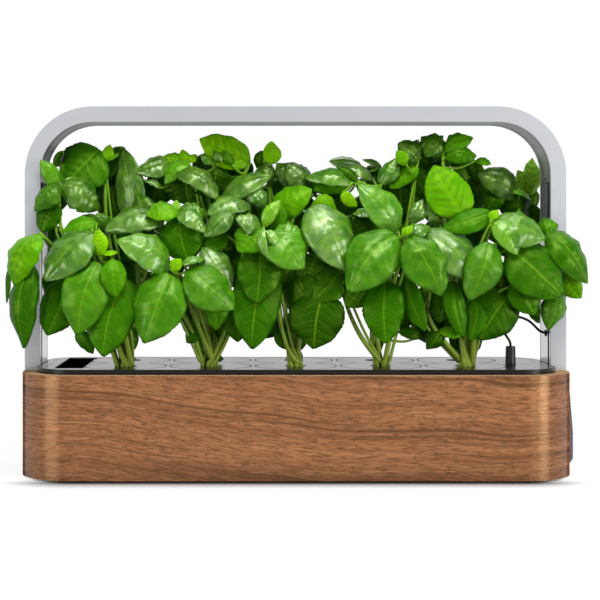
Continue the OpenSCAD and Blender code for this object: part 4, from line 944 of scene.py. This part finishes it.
# Points that each plant's stems pass above the pod, in mm from the pod's x, as in the solids
STEMS = {}
STEMS[1] = [
    [(0, -31, 111), (-9, -42, 148), (-17, -56, 171)],
    [(-4, -22, 118), (-21, -28, 174), (-25, -44, 194)],
    [(-6, -10, 137), (-17, -6, 197), (-19, -2, 250)],
    [(-26, -18, 146), (-50, -26, 190), (-53, -25, 230)],
    [(8, -4, 137), (5, -8, 198), (5, 4, 236)],
    [(-20, -24, 129), (-50, -36, 173), (-65, -48, 191)],
]
STEMS[2] = [
    [(-11, -36, 121), (-20, -48, 148), (-26, -58, 162)],
    [(-9, -26, 138), (-19, -32, 181), (-25, -39, 207)],
    [(-2, -14, 137), (-6, -10, 193), (-17, -8, 245)],
    [(-14, -31, 112), (-22, -34, 128), (-28, -36, 138)],
    [(11, -25, 113), (22, -24, 153), (31, -24, 212)],
    [(4, -4, 145), (14, 0, 209), (31, 6, 248)],
]
STEMS[3] = [
    [(-8, -35, 104), (-17, -44, 146), (-24, -56, 191)],
    [(3, -29, 122), (7, -36, 168), (10, -42, 210)],
    [(12, -14, 137), (27, -12, 185), (31, -16, 213)],
    [(-8, -4, 137), (-4, -4, 189), (5, -2, 227)],
    [(-12, 2, 150), (-18, 6, 200), (-22, 5, 238)],
]
STEMS[4] = [
    [(-16, -34, 109), (-28, -38, 135), (-31, -42, 154)],
    [(-3, -31, 115), (7, -42, 160), (15, -54, 190)],
    [(4, -16, 122), (19, -8, 177), (31, -6, 245)],
    [(-5, -6, 137), (-6, -4, 185), (1, -6, 229)],
    [(9, -27, 115), (22, -36, 162), (31, -44, 193)],
]
STEMS[5] = [
    [(7, -33, 115), (13, -35, 136), (26, -42, 146)],
    [(-20, -35, 108), (-30, -37, 125), (-30, -40, 145)],
    [(1, -30, 130), (9, -40, 178), (18, -46, 201)],
    [(20, -22, 134), (48, -26, 173), (62, -32, 192)],
    [(13, 8, 145), (38, 11, 197), (57, 12, 223)],
    [(-5, -22, 138), (-3, -30, 182), (-2, -33, 203)],
    [(-8, -14, 140), (-14, -8, 200), (-15, -5, 250)],
]

# Outline of the bushes as the camera sees them, and the white gaps inside it, in pixels of the frame
BUSH_PX = [
    (12, 315), (10, 301), (3, 298), (2, 282), (8, 262), (10, 250), (17, 238), (28, 232),
    (35, 232), (38, 215), (33, 203), (33, 192), (37, 183), (46, 178), (40, 160), (50, 166),
    (54, 158), (60, 146), (70, 140), (85, 141), (98, 145), (104, 142), (112, 148), (122, 145),
    (131, 153), (136, 165), (146, 161), (165, 154), (180, 151), (195, 157), (207, 147), (201, 138),
    (215, 134), (232, 133), (246, 140), (258, 152), (265, 147), (272, 141), (278, 155), (290, 162),
    (303, 175), (310, 168), (337, 165), (333, 156), (347, 152), (368, 160), (383, 168), (396, 160),
    (397, 148), (403, 140), (412, 134), (425, 133), (442, 137), (455, 133), (470, 136), (476, 150),
    (476, 160), (500, 165), (515, 170), (525, 178), (526, 166), (536, 160), (541, 172), (541, 215),
    (548, 216), (560, 224), (570, 240), (585, 258), (593, 278), (585, 298), (565, 284), (568, 295),
    (565, 310), (558, 325), (548, 333), (530, 318), (518, 312), (512, 325), (502, 338), (490, 335),
    (478, 342), (475, 366), (456, 366), (452, 352), (440, 350), (430, 354), (420, 340), (400, 333),
    (385, 343), (376, 335), (372, 318), (362, 308), (350, 304), (340, 306), (336, 325), (325, 348),
    (305, 345), (303, 366), (286, 366), (286, 352), (275, 335), (256, 348), (252, 330), (237, 342),
    (228, 335), (220, 366), (202, 366), (196, 345), (185, 330), (172, 328), (145, 341), (138, 322),
    (136, 366), (118, 366), (118, 352), (106, 355), (92, 354), (80, 340), (62, 331), (46, 334),
    (42, 315), (36, 345), (28, 348), (16, 335),
]
GAPS_PX = [
    [(60, 207), (73, 207), (73, 225), (60, 225)],
    [(75, 203), (88, 203), (88, 213), (75, 213)],
    [(349, 186), (355, 186), (369, 202), (363, 202)],
    [(281, 287), (290, 287), (290, 301), (281, 301)],
    [(282, 311), (287, 311), (287, 323), (282, 323)],
    [(467, 231), (477, 231), (477, 236), (467, 236)],
]


def in_polygon(px, py, corners):
    """Which of the points lie inside a polygon (even-odd rule)."""
    inside = np.zeros(px.shape, dtype=bool)
    for (x0, y0), (x1, y1) in zip(corners, corners[1:] + corners[:1]):
        if y0 != y1:
            crosses = (py > min(y0, y1)) & (py <= max(y0, y1))
            inside ^= crosses & (px < x0 + (py - y0) * (x1 - x0) / (y1 - y0))
    return inside


class Sight:
    """What the camera sees of the bushes: their outline, and which of its cells a leaf covers already."""

    CELL = 2

    def __init__(self):
        count = IMAGE_PX // self.CELL
        middle = (np.arange(count) + 0.5) * self.CELL
        px, py = np.meshgrid(middle, middle)
        self.bush = in_polygon(px, py, BUSH_PX)
        for gap in GAPS_PX:
            self.bush &= ~in_polygon(px, py, gap)
        self.covered = np.zeros((count, count), dtype=bool)

    def cells(self, grid):
        fine = []
        for t in (0.0, 0.5):
            rows = grid[:-1] * (1 - t) + grid[1:] * t
            for w in (0.0, 0.5):
                fine.append((rows[:, :-1] * (1 - w) + rows[:, 1:] * w).reshape(-1, 3))
        px, py = to_px(np.concatenate(fine))
        last = self.bush.shape[0] - 1
        return np.clip((py / self.CELL).astype(int), 0, last), np.clip((px / self.CELL).astype(int), 0, last)

    def mark(self, grid):
        self.covered[self.cells(grid)] = True

    def inside(self, grid):
        """Share of a blade that lies in the outline."""
        return self.bush[self.cells(grid)].mean()

    def open_cells(self):
        rows, columns = np.nonzero(self.bush & ~self.covered)
        return list(zip(columns * self.CELL + 1, rows * self.CELL + 1))


STALK_SAG = 0.1
LEAF_HANGS = 0.002
NOT_ABOVE = 0.010


def stalk_path(start, end):
    """Curve from a stem to a leaf's base, sagging a little."""
    middle = (start + end) / 2 - Vector((0, 0, STALK_SAG * (end - start).length))
    return spline([start, middle, end], 4)


def nearest_on_stems(paths, p):
    """The spot that a leaf at p grows from: near it, and a little below it."""
    spots = [q for path in paths for q in path[4:]]
    return min(spots, key=lambda q: (q - p).length + (NOT_ABOVE if q.z > p.z - LEAF_HANGS else 0.0))


STEM_ROOT_MM = 5.0
STEM_SIDES = 8
STEM_R = 0.0019
STALK_R = 0.00095
LONG_STALK = 0.022
SHOOT_TURN = 0.55
SHOOT_ASIDE_MM = (4.6, 1.5)


class Plant:
    """One basil plant: blades, stems, and where its pod is."""

    def __init__(self, number):
        low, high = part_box(f"grow_plug_{number}")
        self.number = number
        self.pod = Vector(((low.x + high.x) / 2, (low.y + high.y) / 2, high.z))
        self.rng = random.Random(100 + number)
        self.blades = Blades()
        self.stems = Tubes(STEM_SIDES)
        self.paths = []
        for k, route in enumerate(STEMS[number]):
            turn = 2 * math.pi * k / len(STEMS[number])
            self.paths.append(self.stem(route, turn, 1.0, (0, 0), 1.2, 0.6))
            # A thinner shoot beside each stem
            turn += SHOOT_TURN
            aside = (SHOOT_ASIDE_MM[0] * (-1) ** k, SHOOT_ASIDE_MM[1] * math.sin(turn))
            self.stem(route, turn, 1.25, aside, 0.75, 0.35)

    def stem(self, route, turn, spread, aside, thick, taper):
        """Adds a stem that roots at a turn round the pod and passes aside of the route; gives its path."""
        root = self.pod + Vector((math.cos(turn), math.sin(turn), 0)) * STEM_ROOT_MM * spread * MM
        beside = Vector((*aside, 0)) * MM
        points = [root] + [self.place(p) + beside for p in route[:-1]] + [self.place(route[-1])]
        path = [Vector(p) for p in kept_clear(np.array(spline(points, 8)))]
        path[0].z = self.pod.z
        last = len(path) - 1
        self.stems.add(path, [STEM_R * (thick - taper * i / last) for i in range(last + 1)])
        return path

    def place(self, p):
        return Vector((self.pod.x + p[0] * MM, p[1] * MM, p[2] * MM))

    def grid(self, foot, tip, width, face, style, rows=26, columns=15):
        return leaf_grid(foot, tip, face, width, style, self.rng, rows, columns)

    def add(self, grid, tone, pale):
        self.blades.add(grid, tone, pale, self.rng.random())
        end = Vector(grid[0, grid.shape[1] // 2])
        path = stalk_path(nearest_on_stems(self.paths, end), end)
        if (path[-1] - path[0]).length > LONG_STALK:
            self.paths.append(path)
        last = len(path) - 1
        self.stems.add(path, [STALK_R * (1.25 - 0.4 * i / last) for i in range(last + 1)])

    def build(self):
        leaves = self.blades.build(f"basil_leaves_{self.number}")
        trunk = add_mesh(f"basil_stems_{self.number}", self.stems.points, self.stems.faces, [stalk])
        for piece in (leaves, trunk):
            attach(piece, "base")
        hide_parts(f"basil_plant_{self.number}")


BACK_N = 13
BACK_LOW_MM, BACK_RISE_MM = 152, 86
BACK_REACH_MM, BACK_WIDTH_MM = 72, 48
BACK_FAN = 0.45
BACK_INSIDE = 0.9


def back_leaf(number, i):
    """Foot, tip, width and face of one leaf of the back half, by the rule of the solids, in mm."""
    place = (i * 0.618 + number * 0.27) % 1
    turn = math.radians(-80 + 160 * place)
    size = 0.56 + 0.12 * (i * 0.37 % 1)
    fall_deg = 26 + 26 * ((i * 0.71 + number * 0.4) % 1)
    fall = math.radians(fall_deg)
    reach = BACK_REACH_MM * size
    foot = (34 * (place - 0.5), 8 + 24 * (i * 0.43 % 1), BACK_LOW_MM + BACK_RISE_MM * i / (BACK_N - 1))
    tip = (
        foot[0] + reach * BACK_FAN * math.sin(turn) * math.cos(fall),
        foot[1] + reach * math.cos(turn) * math.cos(fall),
        foot[2] - reach * math.sin(fall),
    )
    return foot, tip, BACK_WIDTH_MM * size, facing(180 - math.degrees(turn), 90 - fall_deg)


sight = Sight()
plants = [Plant(number) for number in PLANTS]
for plant in plants:
    for foot, tip, width, turn, tilt, style, tone, pale in LEAVES[plant.number]:
        width = width * GROWN_WIDTH * MM
        grid = plant.grid(plant.place(foot), plant.place(tip), width, facing(turn, tilt), style)
        plant.add(grid, tone, pale)
        sight.mark(grid)
    for i in range(BACK_N):
        foot, tip, width, face = back_leaf(plant.number, i)
        grid = plant.grid(plant.place(foot), plant.place(tip), width * MM, face, "dome", 20, 11)
        if sight.inside(grid) > BACK_INSIDE:
            plant.add(grid, 0.15 + 0.5 * plant.rng.random(), 0.3 * plant.rng.random())
            sight.mark(grid)

# Shaded leaves between the seen ones: each starts from a spot where the camera would look through
INNER_TRIES = 700
INNER_INSIDE = 0.96
INNER_LENGTH = (0.016, 0.036)
INNER_WIDE = 0.66
# Inner leaves get dark tones: painted shade, besides the shade that falls on them
INNER_TONE = (0.02, 0.22)
INNER_DEPTH_MM = (-22, 4)
CROWN_Z = 0.195
CROWN_DEPTH_MM = (8, 24)
LEG_REACH = 0.034
BEHIND_LEG_MM = (32, 50)
rng = random.Random(7)
for attempt in range(INNER_TRIES):
    spots = sight.open_cells()
    if not spots:
        break
    px, py = spots[rng.randrange(len(spots))]
    middle = at_px(px, py, rng.uniform(*INNER_DEPTH_MM))
    if middle.z > CROWN_Z:
        middle = at_px(px, py, rng.uniform(*CROWN_DEPTH_MM))
    if abs(middle.x) > LEG_X - LEG_REACH:
        middle = at_px(px, py, rng.uniform(*BEHIND_LEG_MM))
    plant = min(plants, key=lambda p: abs(p.pod.x - middle.x))
    length = rng.uniform(*INNER_LENGTH)
    heading = Vector((rng.uniform(-0.8, 0.8), rng.uniform(-0.3, 0.3), -0.8)).normalized()
    foot, tip = middle - heading * length / 2, middle + heading * length / 2
    face = facing(rng.uniform(-30, 30), rng.uniform(-10, 30))
    grid = plant.grid(foot, tip, length * INNER_WIDE, face, "broad", 16, 9)
    if sight.inside(grid) >= INNER_INSIDE:
        plant.add(grid, rng.uniform(*INNER_TONE), 0.0)
        sight.mark(grid)

for plant in plants:
    plant.build()

# ---------------- light lead
LEAD_D = 0.002
# From beside the grommet in the right leg to the top of the plug, in mm, as in the solids
LEAD_ROUTE_MM = [
    (198.6, -2.2, 111.8), (194.6, -3, 115.6), (190, -4, 119.6), (184.6, -5, 122.2), (178.6, -6, 123.4),
    (173, -6.8, 123.2), (168, -7.4, 121.8), (165, -8, 119), (165.4, -8.2, 115.4), (168, -8.2, 111.6),
    (171, -8, 107.4), (173.6, -8, 103), (174, -8, 99.7),
]


def add_lead():
    low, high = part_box("lead_grommet")
    start = Vector((low.x, (low.y + high.y) / 2, (low.z + high.z) / 2))
    route = spline([start] + [Vector(p) * MM for p in LEAD_ROUTE_MM], 5)
    data = bpy.data.curves.new("light_lead_cable", "CURVE")
    data.dimensions = "3D"
    line = data.splines.new("POLY")
    line.points.add(len(route) - 1)
    for point, at in zip(line.points, route):
        point.co = (at.x, at.y, at.z, 1)
    line.use_smooth = True
    data.bevel_depth = LEAD_D / 2
    data.bevel_resolution = 4
    data.use_fill_caps = True
    data.materials.append(rubber)
    lead = bpy.data.objects.new("light_lead_cable", data)
    scene.collection.objects.link(lead)
    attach(lead, "arch")
    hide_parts("light_lead")


add_lead()

# ---------------- floor, world and lights
FLOOR_BOUNCE = 0.25
FLOOR_HALF = 8.0
FRONT_Y = -0.073
SIDE_FADE = 1.6
# What the camera sees of the paper, by the distance from the base: its colour, which is a painted shadow
# close to the base, and its share of plain white
FLOOR_STEPS = [
    (0.0, 0.04, 0.0),
    (0.002, 0.07, 0.0),
    (0.005, 0.22, 0.0),
    (0.009, 0.42, 0.05),
    (0.014, 0.56, 0.15),
    (0.018, 0.66, 0.24),
    (0.023, 0.80, 0.40),
    (0.032, 1.0, 0.85),
    (0.300, 1.0, 0.95),
    (0.800, 1.0, 1.0),
]
WORLD_LEVEL = 0.20
BACKDROP_FROM = (-0.10, 0.25)
# Soft boxes: place, target, width, height, and what each adds to a matte surface that faces it
LAMPS = {
    "top_box": ((0.10, 0.35, 1.45), (0, 0, 0.20), 0.9, 0.5, 0.56),
    "over_box": ((0.15, -0.75, 1.45), (0, 0, 0.18), 0.9, 0.46, 0.94),
    "key_box": ((-0.50, -1.60, 1.30), (0, 0, 0.15), 0.5, 0.5, 0.06),
    "left_strip": ((-1.17, -0.90, 0.24), (-0.19, -0.05, 0.10), 0.70, 0.46, 0.42),
    "right_strip": ((1.15, -0.77, 0.24), (0.19, -0.05, 0.10), 0.44, 0.46, 0.54),
    "right_fill": ((0.85, -1.08, 0.24), (0.19, -0.05, 0.10), 0.35, 0.46, 0.10),
}


def add_floor():
    """White paper: a painted shadow darkens it near the base, where it keeps the real shadow too, and it
    fades to plain white away from it.
    """
    s = Shader("floor")
    x, y, _ = s.split(s.point())
    # The light comes from above and behind, so the painted contact shadow reaches furthest at the front and
    # fades fast at the sides and back
    past_front = s.larger(s.minus(y, FRONT_Y), 0.0)
    away = s.times(outline_inset(s, x, y), -1.0)
    away = s.math("ADD", away, s.times(past_front, SIDE_FADE))
    # Painted shadow: the paper's colour goes dark close to the base
    paper = s.ramp(away, [(distance, grey(level)) for distance, level, white in FLOOR_STEPS])
    share = s.ramp(away, [(distance, grey(white)) for distance, level, white in FLOOR_STEPS])
    paper = s.mix(s.fit(s.grain((300, 300, 300)), 0.3, 0.7, 0.0, 0.03), paper, grey(0.6))
    path = s.node("ShaderNodeLightPath").outputs
    seen = s.larger(path["Is Camera Ray"], path["Is Glossy Ray"])
    seen = s.larger(seen, path["Is Transmission Ray"])
    matte = s.out("ShaderNodeBsdfDiffuse", {"Color": s.mix(seen, grey(FLOOR_BOUNCE), paper)})
    glow = s.out("ShaderNodeEmission", {"Color": grey(1), "Strength": 1.0})
    material = s.surface(s.out("ShaderNodeMixShader", {0: s.times(seen, share), 1: matte, 2: glow}))
    size = FLOOR_HALF
    corners = [(-size, -size, 0), (size, -size, 0), (size, size, 0), (-size, size, 0)]
    floor = add_mesh("floor", corners, [(0, 1, 2, 3)], [material], smooth=False)


def add_world():
    """White backdrop behind the object and a dim room around it: only the camera sees white all round."""
    s = Shader("studio", world=True)
    behind = s.fit(s.split(s.out("ShaderNodeTexCoord", output="Generated"))[1], *BACKDROP_FROM)
    path = s.node("ShaderNodeLightPath").outputs
    reflected = s.times(s.larger(path["Is Glossy Ray"], path["Is Transmission Ray"]), behind)
    seen = s.larger(path["Is Camera Ray"], reflected)
    room = s.out("ShaderNodeBackground", {"Color": grey(1), "Strength": WORLD_LEVEL})
    white = s.out("ShaderNodeBackground", {"Color": grey(1), "Strength": 1.0})
    scene.world = s.surface(s.out("ShaderNodeMixShader", {0: seen, 1: room, 2: white}))


def add_area(name, at, target, width, height, level):
    """Soft box at a place, turned to a target."""
    aim = Vector(target) - Vector(at)
    data = bpy.data.lights.new(name, "AREA")
    data.shape = "RECTANGLE"
    data.size = width
    data.size_y = height
    data.energy = level * (math.pi * aim.length) ** 2
    lamp = bpy.data.objects.new(name, data)
    lamp.location = at
    lamp.rotation_euler = aim.to_track_quat("-Z", "Y").to_euler()
    scene.collection.objects.link(lamp)


add_floor()
add_world()
for name, facts in LAMPS.items():
    add_area(name, *facts)

scene.view_settings.view_transform = "Standard"
